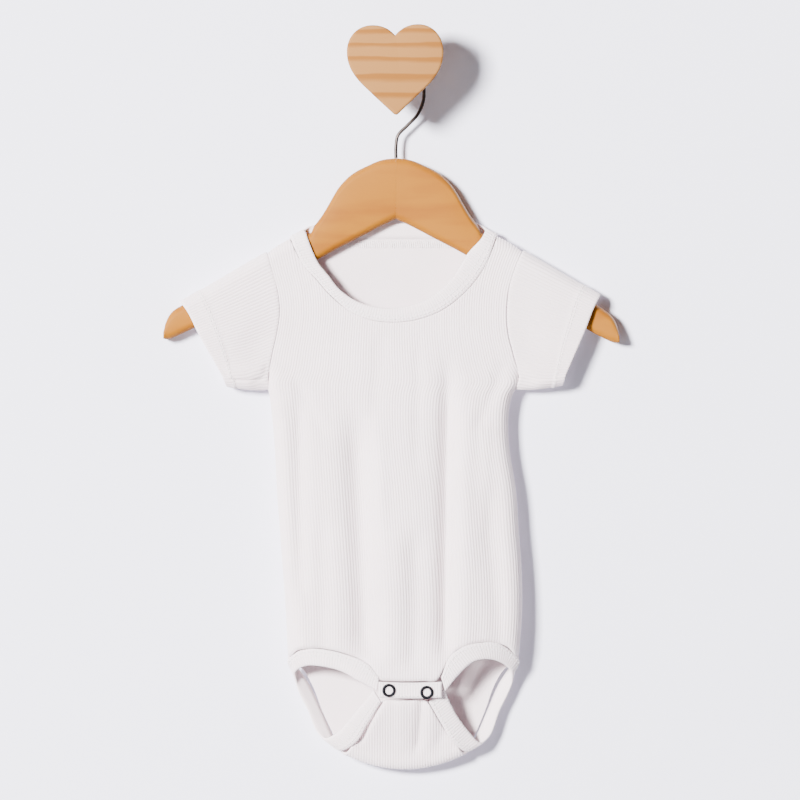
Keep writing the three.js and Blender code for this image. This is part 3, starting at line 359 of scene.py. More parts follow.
def sleeve_loop(shape, v, count):
    """Even steps round a sleeve at one station between the armhole and the hem."""
    sign = shape["sign"]
    side = left_side if sign < 0 else right_side
    t = (1 - np.cos(math.pi * np.arange(0, 161) / 160)) / 2
    p = np.concatenate([t[:-1], t[:0:-1]])
    face = np.concatenate([np.ones(160), -np.ones(160)])
    arm_top = crest(side(-126))
    body_z = mix(arm_top, SIDE_SEAM_TOP - 1, p)
    body_x = side(np.minimum(-126, body_z))
    x = mix(body_x + sign * 0.05, mix(shape["top"][0], shape["foot"][0], p), v)
    z = mix(body_z, mix(shape["top"][1], shape["foot"][1], p), v) - 1.5 * math.sin(math.pi * v) * p
    z = z + (crest(x) - mix(arm_top, shape["top"][1], v)) * (1 - smooth(0, 0.4, p))
    wave = 1.8 * np.sin(math.pi * p) * smooth(0.1, 0.7, v)
    dent = np.exp(-(((v - 0.35) / 0.3) ** 2)) * np.exp(-(((p - 0.62) / 0.12) ** 2)) * 1.2
    roll = 1.3 * np.exp(-(((p - 0.85) / 0.05) ** 2)) - 2.2 * np.exp(-(((p - 0.925) / 0.014) ** 2))
    roll = roll * shape["roll"] * smooth(0.06, 0.2, v) * (1 - smooth(0.72, 0.9, v))
    front = mix(front_line(body_x, body_z), 15.7 + 3.2 * p, v) + wave - dent + roll
    back = mix(back_line(body_x, body_z), 2.3 + 1.2 * p, v)
    length = mix(96, 67, v)
    top_turn = OVER_ARM_HIGH / length
    foot_turn = mix(22, 6, float(smooth(0, 0.5, v))) / length
    share = np.ones_like(p)
    top = p < top_turn
    foot = p > 1 - foot_turn
    share[top] = np.sqrt(np.maximum(0, 1 - (1 - p[top] / top_turn) ** 2))
    share[foot] = np.sqrt(np.maximum(0, 1 - ((p[foot] - 1 + foot_turn) / foot_turn) ** 2))
    middle = np.where(top, -HANGER_Y, (front + back) / 2)
    half = np.where(top, np.where(face > 0, front + HANGER_Y, -HANGER_Y - back), (front - back) / 2)
    dense = np.stack([x, -(middle + face * half * share), z], -1)
    ring = np.concatenate([dense, dense[:1]])
    run = np.concatenate([[0], np.cumsum(np.linalg.norm(np.diff(ring, axis=0), axis=1))])
    want = run[-1] * np.arange(count) / count
    return np.stack([np.interp(want, run, ring[:, k]) for k in range(3)], -1)


def spline(points, closed, count):
    """Centripetal Catmull-Rom curve through points, in count even steps of its parameter."""
    pts = np.asarray(points, float)
    n = len(pts)
    spans = n if closed else n - 1
    out = []
    for value in np.arange(count) / (count if closed else count - 1) * spans:
        i = min(int(value), spans - 1)
        t = value - i
        pick = lambda k: pts[k % n] if closed else (
            pts[k] if 0 <= k < n else (2 * pts[0] - pts[1] if k < 0 else 2 * pts[-1] - pts[-2]))
        a, b, c, d = pick(i - 1), pick(i), pick(i + 1), pick(i + 2)
        steps = [max(1e-4, np.linalg.norm(q - p) ** 0.5) for p, q in ((a, b), (b, c), (c, d))]
        ta, tb = 0.0, steps[0]
        tc, td = tb + steps[1], tb + steps[1] + steps[2]
        s = tb + (tc - tb) * t
        a1 = (tb - s) / (tb - ta) * a + (s - ta) / (tb - ta) * b
        a2 = (tc - s) / (tc - tb) * b + (s - tb) / (tc - tb) * c
        a3 = (td - s) / (td - tc) * c + (s - tc) / (td - tc) * d
        b1 = (tc - s) / (tc - ta) * a1 + (s - ta) / (tc - ta) * a2
        b2 = (td - s) / (td - tb) * a2 + (s - tb) / (td - tb) * a3
        out.append((tc - s) / (tc - tb) * b1 + (s - tb) / (tc - tb) * b2)
    return np.array(out)


def unit(v):
    return v / np.maximum(np.linalg.norm(v, axis=-1, keepdims=True), 1e-9)


def mesh_object(name, points, faces, material, node=None, flat=False):
    mesh = bpy.data.meshes.new(name)
    mesh.from_pydata((np.asarray(points) * MM).tolist(), [], faces)
    mesh.validate()
    mesh.update()
    if not flat:
        mesh.polygons.foreach_set("use_smooth", [True] * len(mesh.polygons))
    obj = bpy.data.objects.new(name, mesh)
    bpy.context.scene.collection.objects.link(obj)
    obj.data.materials.append(material)
    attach(obj, "root")
    if node:
        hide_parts(node)
    return obj


def orient(obj):
    """Turn the faces of a closed mesh outwards."""
    work = bmesh.new()
    work.from_mesh(obj.data)
    bmesh.ops.recalc_face_normals(work, faces=work.faces)
    work.to_mesh(obj.data)
    work.free()
    return obj


def wall_object(name, base, height, every, closed, sign, material):
    """A cloth wall: base is a grid of points of the inside, height the outside's distance from it.

    Every second kept column of the inside stands out a little, as the knit's back does."""
    columns, rows = base.shape[:2]
    if closed:
        around = (np.roll(base, -2, 0) - np.roll(base, 2, 0))
    else:
        around = np.gradient(base, axis=0)
    along = np.gradient(base, axis=1)
    normal = unit(np.cross(around, along)) * sign
    outer = base + normal * height[..., None]
    kept = list(range(0, columns, every))
    if not closed and kept[-1] != columns - 1:
        kept.append(columns - 1)
    inner = base[kept]
    inner[1::2] -= normal[kept][1::2] * 0.28
    points = np.concatenate([outer.reshape(-1, 3), inner.reshape(-1, 3)])
    shift = columns * rows
    faces = []
    spans = columns if closed else columns - 1
    for i in range(spans):
        a, b = i * rows, ((i + 1) % columns) * rows
        faces += [(a + j, b + j, b + j + 1, a + j + 1) for j in range(rows - 1)]
    marks = kept + [columns] if closed else kept
    for k in range(len(marks) - 1):
        a, b = shift + k * rows, shift + ((k + 1) % len(kept)) * rows
        faces += [(a + j, a + j + 1, b + j + 1, b + j) for j in range(rows - 1)]
        run = [(i % columns) * rows for i in range(marks[k], marks[k + 1] + 1)]
        faces.append(tuple([a, b] + [i for i in reversed(run)]))
        faces.append(tuple([b + rows - 1, a + rows - 1] + [i + rows - 1 for i in run]))
    if not closed:
        a, b = 0, shift
        faces += [(a + j, a + j + 1, b + j + 1, b + j) for j in range(rows - 1)]
        a, b = (columns - 1) * rows, shift + (len(kept) - 1) * rows
        faces += [(b + j, b + j + 1, a + j + 1, a + j) for j in range(rows - 1)]
    return orient(mesh_object(name, points, faces, material, name_to_node(name)))


def name_to_node(name):
    return name[: -len("_cloth")] if name.endswith("_cloth") else name


def rounded_borders(height):
    """Thin the cloth towards its cut edges, so that each seam is a soft groove."""
    for share, place in ((0.45, 0), (0.72, 1), (0.9, 2)):
        for i in (place, -1 - place):
            height[i, :] *= share
    for share, place in ((0.45, 0), (0.8, 1)):
        for j in (place, -1 - place):
            height[:, j] *= share


def rib_profile(columns, ribs, rows, seed):
    """Rounded ribs with narrow grooves, a little uneven in height."""
    rng = np.random.default_rng(seed)
    phase = np.linspace(0, ribs, columns)
    shape = np.abs(np.sin(math.pi * phase)) ** 0.75
    level = 1 + 0.12 * rng.standard_normal(ribs + 2)
    uneven = np.interp(phase, np.arange(ribs + 2), level)
    return RIB * (shape * uneven)[:, None] * np.ones((1, rows))


def panel(name, base, sign, seed, material):
    """A body panel of ribbed cloth over a grid of points of its inside."""
    height = WALL - 0.1 + rib_profile(base.shape[0], RIBS_ACROSS, base.shape[1], seed)
    rounded_borders(height)
    return wall_object(name, base, height, POINTS_A_RIB // 2, False, sign, material)


def sleeve(side, material):
    shape = SLEEVES[side]
    count = RIBS_ROUND_SLEEVE * POINTS_A_RIB
    stations = np.concatenate([[0, 0.008], np.linspace(0.02, 0.74, 25), np.linspace(0.75, 0.985, 17), [1.0]])
    base = np.stack([sleeve_loop(shape, v, count) for v in stations], 1)
    phase = np.arange(count) / POINTS_A_RIB
    ribs = RIB * np.abs(np.sin(math.pi * phase)) ** 0.75
    hem = 0.45 * smooth(0.745, 0.765, stations) - 0.5 * smooth(0.985, 1.0, stations)
    hem = hem - 0.25 * np.exp(-(((stations - 0.775) / 0.012) ** 2))
    hem = hem - 0.5 * (1 - smooth(0, 0.02, stations))
    height = WALL - 0.1 + ribs[:, None] * np.ones((1, len(stations))) + hem[None, :]
    name = f"sleeve_{side}_cloth"
    return wall_object(name, base, height, POINTS_A_RIB, True, shape["sign"], material), base


def band(name, seams, edges, count, closed, sign, material, gap=0.1):
    """A folded binding between a seam line and a free edge, with fine ribs across it."""
    seam = spline(seams, closed, count)
    edge = spline(edges, closed, count)
    across = unit(edge - seam)
    if closed:
        along = np.roll(seam, -1, 0) - np.roll(seam, 1, 0)
    else:
        along = np.gradient(seam, axis=0)
    normal = unit(np.cross(along, across)) * sign
    start = seam + across * gap
    lengths = np.concatenate([[0], np.cumsum(np.linalg.norm(np.diff((seam + edge) / 2, axis=0), axis=1))])
    wave = 0.36 * np.abs(np.sin(math.pi * lengths / RIB_PITCH)) ** 0.8
    profile = [(0.0, 0.1), (0.3, 0.0), (0.7, 0.0), (0.95, 0.12), (1.0, 0.55), (0.97, 1.25), (0.88, 1.6),
               (0.7, 1.7), (0.45, 1.62), (0.25, 1.5), (0.1, 1.35), (0.0, 1.05)]
    rings = []
    for share, high in profile:
        lift = high + (wave if high > 0.6 else 0)
        rings.append(start + (edge - start) * share + normal * np.reshape(lift * np.ones(count), (-1, 1)))
    points = np.stack(rings, 1)
    size = len(profile)
    faces = []
    for i in range(count if closed else count - 1):
        j = (i + 1) % count
        faces += [(i * size + k, j * size + k, j * size + (k + 1) % size, i * size + (k + 1) % size)
                  for k in range(size)]
    if not closed:
        faces += [tuple(range(size)), tuple((count - 1) * size + k for k in reversed(range(size)))]
    obj = mesh_object(name, points.reshape(-1, 3), faces, material, name_to_node(name))
    return orient(obj), start, edge, normal


def neck_rows():
    seams, edges = [], []
    for sx, sz, ex, ez, side, deep in NECK_RING:
        for x, z, out, fixed in ((sx, sz, seams, 0), (ex, ez, edges, deep)):
            if side == 0.5:
                out.append((x, HANGER_Y, float(crest(x)) + NECK_LIFT))
                continue
            line = front_line(x, z) if side == 0 else back_line(x, z)
            depth = fixed or float(over_arm(line, x, z, NECK_LIFT))
            out.append((x, -depth, z))
    return seams, edges


def loft_object(name, sections, material, node, closed=False):
    size = len(sections[0])
    count = len(sections)
    faces = []
    for i in range(count if closed else count - 1):
        j = (i + 1) % count
        faces += [(i * size + k, j * size + k, j * size + (k + 1) % size, i * size + (k + 1) % size)
                  for k in range(size)]
    if not closed:
        faces += [tuple(range(size)), tuple((count - 1) * size + k for k in reversed(range(size)))]
    return orient(mesh_object(name, np.concatenate(sections), faces, material, node))


def hanger_arm(side, material):
    """Half of the hanger, through rounded upright sections. The right half is shorter and lower."""
    sign = -1 if side == "left" else 1
    shorter, lower = (0, 0) if side == "left" else (0.04, 2.6)
    top, foot = curve(HANGER, "x", "top"), curve(HANGER, "x", "foot")
    sections = []
    turns = np.linspace(0, math.pi / 2, 16)
    tip = HANGER_TIP_X - (HANGER_TIP_X - HANGER_ROUND_FROM) * np.cos(turns)[1:]
    for x in np.concatenate([[0.02, 0.05], np.linspace(0.3, HANGER_ROUND_FROM, 90), tip]):
        reach = float(smooth(60, HANGER_TIP_X, x))
        at = sign * x * (1 - shorter * reach)
        limit = float(crest_outer(abs(at))) - 3 if x > 59 else 0
        high = min(float(top(x)) - lower * reach, limit)
        low = float(foot(x)) - lower * reach
        round_edge = min(5.5, (high - low) / 2.1, HANGER_THICK / 2.1)
        flat = HANGER_THICK / 2 - round_edge
        section = []
        for y, z, begin in ((flat, high - round_edge, 0), (-flat, high - round_edge, 90),
                            (-flat, low + round_edge, 180), (flat, low + round_edge, 270)):
            for turn in np.linspace(0, 90, 7):
                angle = math.radians(begin + turn)
                deep = HANGER_Y + y + round_edge * math.cos(angle)
                section.append((at, deep, z + round_edge * math.sin(angle)))
        sections.append(np.array(section))
    return loft_object(f"hanger_{side}_wood", sections, material, f"hanger_arm_{side}")


def tube(name, path, out, radius, sides, material, node):
    """A round bar along a path, where out is a direction that the path never takes."""
    points = np.asarray(path, float)
    tangent = unit(np.gradient(points, axis=0))
    other = unit(np.cross(tangent, out))
    sections = []
    for p, o in zip(points, other):
        angles = np.linspace(0, 2 * math.pi, sides, endpoint=False)
        sections.append(p + radius * (np.cos(angles)[:, None] * out + np.sin(angles)[:, None] * o))
    return loft_object(name, sections, material, node)


HOOK = [(0, -62.2), (0, -54), (1.4, -46.4), (8, -39.4), (14.9, -32), (19, -22.6), (19.6, -14), (18.2, -5.4),
        (13.6, 2.3), (6.8, 6.8), (0, 8), (-8, 6.2), (-14.6, 1.6), (-18.6, -6.2)]


def hook(material):
    path = spline([(x, HANGER_Y, z) for x, z in HOOK], False, 160)
    out = np.array([0.0, 1.0, 0.0])
    return tube("hook_wire", path, out, HOOK_RADIUS, 20, material, "hanger_hook")


def peg_stem(material):
    path = [(0, y, 0) for y in np.linspace(0, -STEM_LENGTH, 12)]
    out = np.array([0.0, 0.0, 1.0])
    return tube("peg_stem_wood", path, out, STEM_RADIUS, 48, material, "peg_stem")


def heart_outline(count):
    """The heart's edge, from its cleft clockwise, in even steps."""
    def bezier(a, b, c, d):
        t = np.linspace(0, 1, 40)[:, None]
        a, b, c, d = (np.array(p, float) for p in (a, b, c, d))
        return (1 - t) ** 3 * a + 3 * (1 - t) ** 2 * t * b + 3 * (1 - t) * t**2 * c + t**3 * d

    pieces = [
        bezier((-0.6, 23.1), (3.4, 28.2), (9, 31), (15.4, 31)),
        bezier((15.4, 31), (26, 31), (33.2, 22.6), (33.2, 11.6)),
        bezier((33.2, 11.6), (33.2, 2), (28.6, -5.4), (22, -12)),
        bezier((22, -12), (15, -18.7), (8, -25.3), (1.6, -31.6)),
        bezier((1.6, -31.6), (0.5, -32.5), (-0.5, -32.5), (-1.6, -31.6)),
        bezier((-1.6, -31.6), (-8.6, -25.3), (-15.6, -18.7), (-22.6, -12)),
        bezier((-22.6, -12), (-29.4, -5.4), (-34.4, 2), (-34.4, 11.6)),
        bezier((-34.4, 11.6), (-34.4, 22.2), (-27, 30.3), (-16.4, 30.3)),
        bezier((-16.4, 30.3), (-10, 30.3), (-4.6, 28), (-0.6, 23.1)),
    ]
    line = np.concatenate(pieces)
    run = np.concatenate([[0], np.cumsum(np.linalg.norm(np.diff(line, axis=0), axis=1))])
    want = run[-1] * np.arange(count) / count
    return np.stack([np.interp(want, run, line[:, k]) for k in range(2)], -1)


def peg_heart(material):
    outline = heart_outline(240)
    ahead, behind = np.roll(outline, -2, 0), np.roll(outline, 2, 0)
    tangent = unit(ahead - behind)
    inward = np.stack([tangent[:, 1], -tangent[:, 0]], -1)
    levels = []
    for angle in np.linspace(0, math.pi / 2, 6):
        inset, rise = HEART_BEVEL * (1 - math.sin(angle)), HEART_BEVEL * (1 - math.cos(angle))
        levels.append((inset, HEART_BACK_Y - rise))
    for angle in np.linspace(0, math.pi / 2, 6):
        inset, rise = HEART_BEVEL * (1 - math.cos(angle)), HEART_BEVEL * (1 - math.sin(angle))
        levels.append((inset, HEART_FRONT_Y + rise))
    sections = []
    for inset, y in levels:
        ring = outline + inward * inset
        sections.append(np.stack([ring[:, 0], np.full(len(ring), y), ring[:, 1]], -1))
    return loft_object("peg_heart_wood", sections, material, "peg_heart")


def turned(name, x, z, profile, sides, material, node):
    """A turned piece whose axis runs front to back, from rows of radius and y."""
    sections = []
    for angle in np.linspace(0, 2 * math.pi, sides, endpoint=False):
        sections.append(np.array([(x + r * math.cos(angle), y, z + r * math.sin(angle)) for r, y in profile]))
    return loft_object(name, sections, material, node, closed=True)


def snap(side, material):
    x, z = SNAPS[side]
    front = SNAP_RING_Y
    profile = [(2.75, front), (4.65, front), (4.75, front - 0.3), (4.75, front - 0.8), (4.55, front - 1.15),
               (4.2, front - 1.3), (3.3, front - 1.3), (2.95, front - 1.15), (2.75, front - 0.8)]
    turned(f"snap_ring_{side}_metal", x, z, profile, 56, material, f"snap_ring_{side}")
    base = [(2.9, -28.6), (4.6, -28.6), (4.75, -28.8), (4.7, -29.3), (4.4, -29.5), (3.0, -29.5)]
    turned(f"snap_base_{side}_metal", x, z, base, 40, material, f"snap_base_{side}")
    lock = [(0.3, -32.0), (3.9, -32.0), (4.2, -32.3), (4.2, -33.3), (3.9, -33.6), (0.3, -33.6)]
    turned(f"snap_lock_{side}_metal", x, z, lock, 40, material, f"snap_lock_{side}")


def snap_band(name, corners, material):
    """A snap band with rounded edges and fine upright ribs."""
    (x0, y0, z0), (x1, y1, z1) = corners
    half, middle = (y1 - y0) / 2, (y0 + y1) / 2
    down = np.linspace(0, 1, 16)
    near_edge = np.minimum(down, 1 - down)
    thick = np.clip(np.sin(np.clip(near_edge / 0.16, 0, 1) * math.pi / 2), 0.25, 1)
    sections = []
    for x in np.linspace(x0, x1, int((x1 - x0) / RIB_PITCH * POINTS_A_RIB)):
        along = (x - x0) / (x1 - x0)
        end = min(1.0, (min(x - x0, x1 - x) + 0.2) / 0.8)
        rib = 0.36 * abs(math.sin(math.pi * (x - x0) / RIB_PITCH)) ** 0.8 * end
        high = mix(z1, z0, down) - 0.6 * math.sin(math.pi * along)
        front = middle - half * thick * end - rib * (near_edge > 0.05)
        back = middle + half * thick * end
        across = np.full(len(down), x)
        section = np.stack([across, front, high], -1)
        sections.append(np.concatenate([section, np.stack([across, back, high], -1)[::-1]]))
    return loft_object(name, sections, material, name_to_node(name))


def stitches(name, lines, material, length=2.1, radius=0.24):
    """Rows of sewing thread: each line is points and the direction out of the cloth."""
    points, faces = [], []
    for line, normal, step in lines:
        run = np.concatenate([[0], np.cumsum(np.linalg.norm(np.diff(line, axis=0), axis=1))])
        for start in np.arange(0.6, run[-1] - length, step):
            mids = np.linspace(start, start + length, 5)
            place = np.stack([np.interp(mids, run, line[:, k]) for k in range(3)], -1)
            out = unit(np.stack([np.interp(mids, run, normal[:, k]) for k in range(3)], -1))
            tangent = unit(np.gradient(place, axis=0))
            side = unit(np.cross(tangent, out))
            base = len(points)
            for i, (p, o, s) in enumerate(zip(place, out, side)):
                high = 0.22 - 0.45 * abs(i - 2) / 2
                for angle in np.linspace(0, 2 * math.pi, 6, endpoint=False):
                    rise = high + radius * 0.8 * math.sin(angle)
                    points.append(p + o * rise + s * radius * math.cos(angle))
            for i in range(4):
                faces += [(base + i * 6 + k, base + i * 6 + (k + 1) % 6, base + i * 6 + 6 + (k + 1) % 6,
                           base + i * 6 + 6 + k) for k in range(6)]
            faces += [tuple(base + k for k in range(6)), tuple(base + 24 + k for k in reversed(range(6)))]
    return orient(mesh_object(name, np.array(points), faces, material, None))


def sew_binding(name, run, shares, step, material):
    """Rows of stitches along a binding, each at a share of the way from its seam to its free edge."""
    start, edge, normal = run
    rows = [(start + (edge - start) * share + normal * BINDING_STITCH_LIFT, normal, step) for share in shares]
    stitches(name, rows, material)


def sew_back_neck(material):
    """Slanted threads over the inside of the back neck's seam."""
    o = OVERLOCK
    rows = []
    for x in np.arange(o["start"], o["end"], o["step"]):
        line = np.array([(x, o["y"], o["top"]), (x + o["lean"], o["y"], o["foot"])])
        rows.append((line, np.array([(0.0, -1.0, 0.0)] * 2), 9.0))
    stitches("back_neck_overlock", rows, material, 5.2)


def sew_hem(side, base, material):
    """Two rows of stitches round a sleeve, at the hem's upper edge."""
    around = np.roll(base, -2, 0) - np.roll(base, 2, 0)
    normal = unit(np.cross(around, np.gradient(base, axis=1))) * SLEEVES[side]["sign"]
    rows = []
    for index in HEM_STITCH_STATIONS:
        ring = base[:, index] + normal[:, index] * SLEEVE_STITCH_LIFT
        out = normal[:, index]
        rows.append((np.concatenate([ring, ring[:1]]), np.concatenate([out, out[:1]]), 3.0))
    stitches(f"hem_stitches_{side}", rows, material)


def sew_snap_band(material):
    """A row of stitches along the upper edge of the front snap band and one along its lower edge."""
    b = SNAP_BAND_STITCHES
    rows = []
    for z in b["rows"]:
        xs = np.linspace(b["start"], b["end"], 40)
        line = np.array([(x, b["y"], z - 0.6 * math.sin(math.pi * (x + 12.3) / 44.3)) for x in xs])
        rows.append((line, np.array([(0.0, -1.0, 0.0)] * 40), 2.7))
    stitches("snap_band_stitches", rows, material, 1.7)


# Materials

def node_material(name):
    material = bpy.data.materials.new(name)
    material.use_nodes = True
    tree = material.node_tree
    shader = tree.nodes["Principled BSDF"]
    coords = tree.nodes.new("ShaderNodeTexCoord")
    return material, tree, shader, coords.outputs["Object"]


def noise(tree, coords, scale, detail=2.0, stretch=None):
    node = tree.nodes.new("ShaderNodeTexNoise")
    node.inputs["Scale"].default_value = scale
    node.inputs["Detail"].default_value = detail
    if stretch:
        mapping = tree.nodes.new("ShaderNodeMapping")
        mapping.inputs["Scale"].default_value = stretch
        tree.links.new(coords, mapping.inputs["Vector"])
        coords = mapping.outputs["Vector"]
    tree.links.new(coords, node.inputs["Vector"])
    return node.outputs["Fac"]


def ramp(tree, value, stops):
    node = tree.nodes.new("ShaderNodeValToRGB")
    while len(node.color_ramp.elements) < len(stops):
        node.color_ramp.elements.new(0.5)
    for element, (place, colour) in zip(node.color_ramp.elements, stops):
        element.position = place
        element.color = (*colour, 1)
    tree.links.new(value, node.inputs["Fac"])
    return node.outputs["Color"]


def bump(tree, shader, height, strength, distance):
    node = tree.nodes.new("ShaderNodeBump")
    node.inputs["Strength"].default_value = strength
    node.inputs["Distance"].default_value = distance
    tree.links.new(height, node.inputs["Height"])
    tree.links.new(node.outputs["Normal"], shader.inputs["Normal"])


def knit_material(name, light, dark, scale):
    material, tree, shader, coords = node_material(name)
    broad = noise(tree, coords, 26, 3)
    tree.links.new(ramp(tree, broad, [(0.3, dark), (0.7, light)]), shader.inputs["Base Color"])
    shader.inputs["Roughness"].default_value = 0.92
    shader.inputs["Sheen Weight"].default_value = 0.25
    shader.inputs["Sheen Roughness"].default_value = 0.5
    shader.inputs["Specular IOR Level"].default_value = 0.25
    shader.inputs["Subsurface Weight"].default_value = 0.5
    shader.inputs["Subsurface Radius"].default_value = (1.0, 0.94, 0.92)
    shader.inputs["Subsurface Scale"].default_value = 0.0016
    loops = tree.nodes.new("ShaderNodeTexVoronoi")
    loops.inputs["Scale"].default_value = scale
    mapping = tree.nodes.new("ShaderNodeMapping")
    mapping.inputs["Scale"].default_value = (1.0, 1.0, 0.62)
    tree.links.new(coords, mapping.inputs["Vector"])
    tree.links.new(mapping.outputs["Vector"], loops.inputs["Vector"])
    bump(tree, shader, loops.outputs["Distance"], 0.35, 0.00025)
    return material


def wood_material(name, light, dark, stretch, scale, rough):
    material, tree, shader, coords = node_material(name)
    grain = noise(tree, coords, scale, 4, stretch)
    colour = ramp(tree, grain, [(0.32, dark), (0.55, light), (0.75, light)])
    tree.links.new(colour, shader.inputs["Base Color"])
    shader.inputs["Roughness"].default_value = rough
    shader.inputs["Specular IOR Level"].default_value = 0.15
    bump(tree, shader, grain, 0.12, 0.0004)
    return material


def pine_material():
    """Pine with a few wide level bands of late wood, at uneven heights."""
    material, tree, shader, coords = node_material("pine")
    light, dark = (0.27, 0.125, 0.036), (0.21, 0.08, 0.013)
    stops = [(0.0, light)]
    for middle, half in PINE_BANDS:
        stops += [(middle - half, light), (middle, dark), (middle + half * 0.7, dark), (middle + half, light)]
    split = tree.nodes.new("ShaderNodeSeparateXYZ")
    tree.links.new(coords, split.inputs["Vector"])
    height = tree.nodes.new("ShaderNodeMapRange")
    height.inputs["From Min"].default_value = -0.035
    height.inputs["From Max"].default_value = 0.035
    tree.links.new(split.outputs["Z"], height.inputs["Value"])
    drift = tree.nodes.new("ShaderNodeMath")
    drift.operation = "MULTIPLY_ADD"
    drift.inputs[1].default_value = 0.09
    tree.links.new(noise(tree, coords, 40, 4, (0.35, 0.5, 2.2)), drift.inputs[0])
    tree.links.new(height.outputs["Result"], drift.inputs[2])
    tree.links.new(ramp(tree, drift.outputs["Value"], stops), shader.inputs["Base Color"])
    shader.inputs["Roughness"].default_value = 0.7
    shader.inputs["Specular IOR Level"].default_value = 0.1
    bump(tree, shader, noise(tree, coords, 220, 3, (0.1, 0.3, 1.6)), 0.15, 0.0003)
    return material


def metal_material(name, colour, rough, scratch):
    material, tree, shader, coords = node_material(name)
    wear = noise(tree, coords, 900, 3)
    darker = tuple(c * 0.7 for c in colour)
    tree.links.new(ramp(tree, wear, [(0.35, darker), (0.65, colour)]), shader.inputs["Base Color"])
    shader.inputs["Metallic"].default_value = 1.0
    shader.inputs["Roughness"].default_value = rough
    bump(tree, shader, wear, scratch, 0.0001)
    return material


def thread_material():
    material, tree, shader, coords = node_material("thread")
    twist = noise(tree, coords, 2400, 2)
    tree.links.new(ramp(tree, twist, [(0.3, (0.78, 0.75, 0.75)), (0.7, (0.86, 0.83, 0.83))]),
                   shader.inputs["Base Color"])
    shader.inputs["Roughness"].default_value = 0.75
    return material


def stage_material(name, colour, one_sided):
    material, tree, shader, coords = node_material(name)
    mottle = noise(tree, coords, 3, 3)
    darker = tuple(c * 0.985 for c in colour)
    tree.links.new(ramp(tree, mottle, [(0.4, darker), (0.6, colour)]), shader.inputs["Base Color"])
    shader.inputs["Roughness"].default_value = 0.9
    if one_sided:
        geometry = tree.nodes.new("ShaderNodeNewGeometry")
        path = tree.nodes.new("ShaderNodeLightPath")
        either = tree.nodes.new("ShaderNodeMath")
        either.operation = "MAXIMUM"
        clear = tree.nodes.new("ShaderNodeBsdfTransparent")
        blend = tree.nodes.new("ShaderNodeMixShader")
        tree.links.new(geometry.outputs["Backfacing"], either.inputs[0])
        tree.links.new(path.outputs["Is Shadow Ray"], either.inputs[1])
        tree.links.new(either.outputs["Value"], blend.inputs["Fac"])
        tree.links.new(shader.outputs["BSDF"], blend.inputs[1])
        tree.links.new(clear.outputs["BSDF"], blend.inputs[2])
        tree.links.new(blend.outputs["Shader"], tree.nodes["Material Output"].inputs["Surface"])
    return material


def plane(name, corners, material):
    mesh = bpy.data.meshes.new(name)
    mesh.from_pydata(corners, [], [(0, 1, 2, 3)])
    obj = bpy.data.objects.new(name, mesh)
    bpy.context.scene.collection.objects.link(obj)
    obj.data.materials.append(material)
    return obj


def area_light(name, place, target, size, power, colour):
    data = bpy.data.lights.new(name, "AREA")
    data.energy = power
    data.size = size
    data.color = colour
    obj = bpy.data.objects.new(name, data)
    obj.location = place
    obj.rotation_euler = (Vector(target) - Vector(place)).to_track_quat("-Z", "Y").to_euler()
    bpy.context.scene.collection.objects.link(obj)
    return obj


def camera():
    """Long lens, level and square to the wall, with the photograph's framing."""
    distance, plane_y, width = 18.0, -0.02, 0.56
    data = bpy.data.cameras.new("camera")
    data.sensor_width = 36
    data.lens = data.sensor_width * distance / width
    obj = bpy.data.objects.new("camera", data)
    obj.location = (0.0028, plane_y - distance, -0.2317)
    obj.rotation_euler = (math.pi / 2, 0, 0)
    bpy.context.scene.collection.objects.link(obj)
    bpy.context.scene.camera = obj


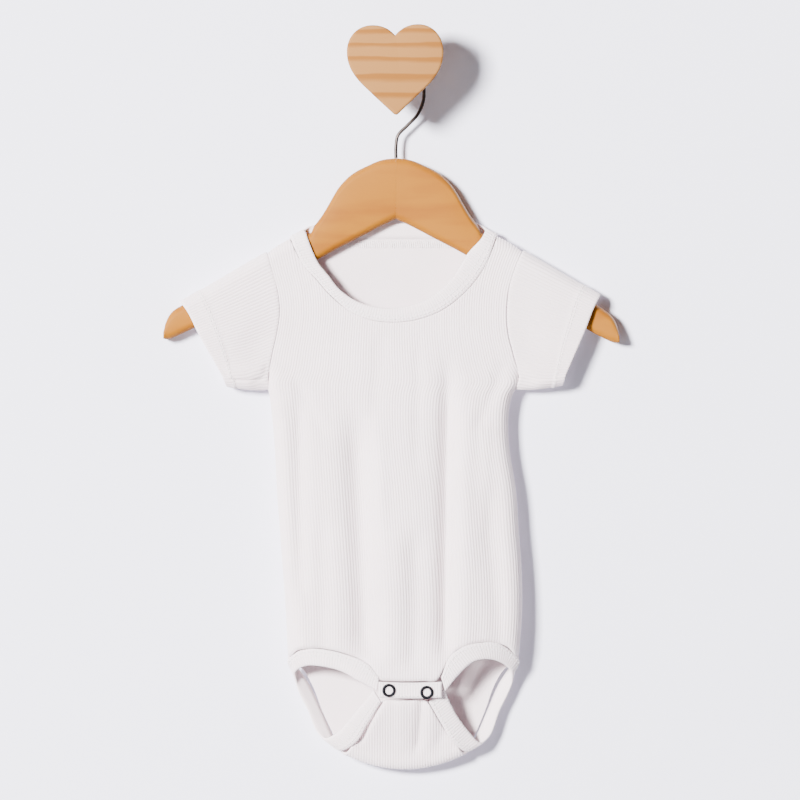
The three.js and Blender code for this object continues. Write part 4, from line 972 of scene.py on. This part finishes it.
def stage():
    wall = stage_material("stage_wall", (0.78, 0.78, 0.89), True)
    floor = stage_material("stage_floor", (0.2, 0.2, 0.21), False)
    plane("wall", [(-3, 0.0006, -1.2), (3, 0.0006, -1.2), (3, 0.0006, 2.4), (-3, 0.0006, 2.4)], wall)
    plane("floor", [(-3, -4, -1.2), (3, -4, -1.2), (3, 3, -1.2), (-3, 3, -1.2)], floor)
    target = (0, 0, -0.25)
    area_light("key", (-4.0, -6.5, 1.44), target, 1.6, 3700, (1, 0.985, 0.98))
    area_light("fill", (1.6, -2.4, 0.4), target, 2.2, 1.5, (0.95, 0.97, 1))
    area_light("back", (1.2, 2.2, 0.6), target, 1.2, 60, (1, 1, 1))
    world = bpy.data.worlds.new("soft")
    world.use_nodes = True
    world.node_tree.nodes["Background"].inputs["Color"].default_value = (0.9, 0.93, 1, 1)
    world.node_tree.nodes["Background"].inputs["Strength"].default_value = 0.03
    bpy.context.scene.world = world


def main():
    camera()
    stage()
    knit = knit_material("rib_knit", (0.80, 0.7, 0.718), (0.76, 0.66, 0.678), 1500)
    binding = knit_material("binding_knit", (0.82, 0.725, 0.74), (0.78, 0.685, 0.7), 1700)
    thread = thread_material()
    wood = wood_material("hanger_wood", (0.26, 0.095, 0.003), (0.225, 0.074, 0.002), (0.25, 1, 1.6), 60, 0.6)
    pine = pine_material()
    steel = metal_material("steel", (0.06, 0.048, 0.044), 0.36, 0.1)
    dark = metal_material("dark_nickel", (0.012, 0.012, 0.015), 0.5, 0.1)

    across = np.linspace(-1, 1, RIBS_ACROSS * POINTS_A_RIB + 1)
    front = panel("front_panel_cloth", front_grid(across, 88, 12), 1, 3, knit)
    back = panel("back_panel_cloth", back_grid(across, 60, 10, 26, 10), -1, 4, knit)
    sleeves = {side: sleeve(side, knit) for side in SLEEVES}
    seams, edges = neck_rows()
    neck, *neck_run = band("neck_binding_cloth", seams, edges, 1300, True, 1, binding)
    legs = {}
    for side, table, sign in (("left", LEG_LEFT, 1), ("right", LEG_RIGHT, -1)):
        seams, edges = zip(*table)
        legs[side] = band(f"leg_binding_{side}_cloth", seams, edges, 620, False, sign, binding)
    front_band = snap_band("front_snap_band_cloth", FRONT_BAND, binding)
    back_band = snap_band("back_snap_band_cloth", BACK_BAND, binding)
    for side in SNAPS:
        snap(side, dark)
        hanger_arm(side, wood)
    hook(steel)
    peg_heart(pine)
    peg_stem(pine)

    sew_binding("neck_stitches", neck_run, (0.2, 0.42), 3.1, thread)
    sew_back_neck(thread)
    for side, (obj, base) in sleeves.items():
        sew_hem(side, base, thread)
    for side, (obj, *leg_run) in legs.items():
        sew_binding(f"leg_stitches_{side}", leg_run, (0.18, 0.4), 3.0, thread)
    sew_snap_band(thread)


main()
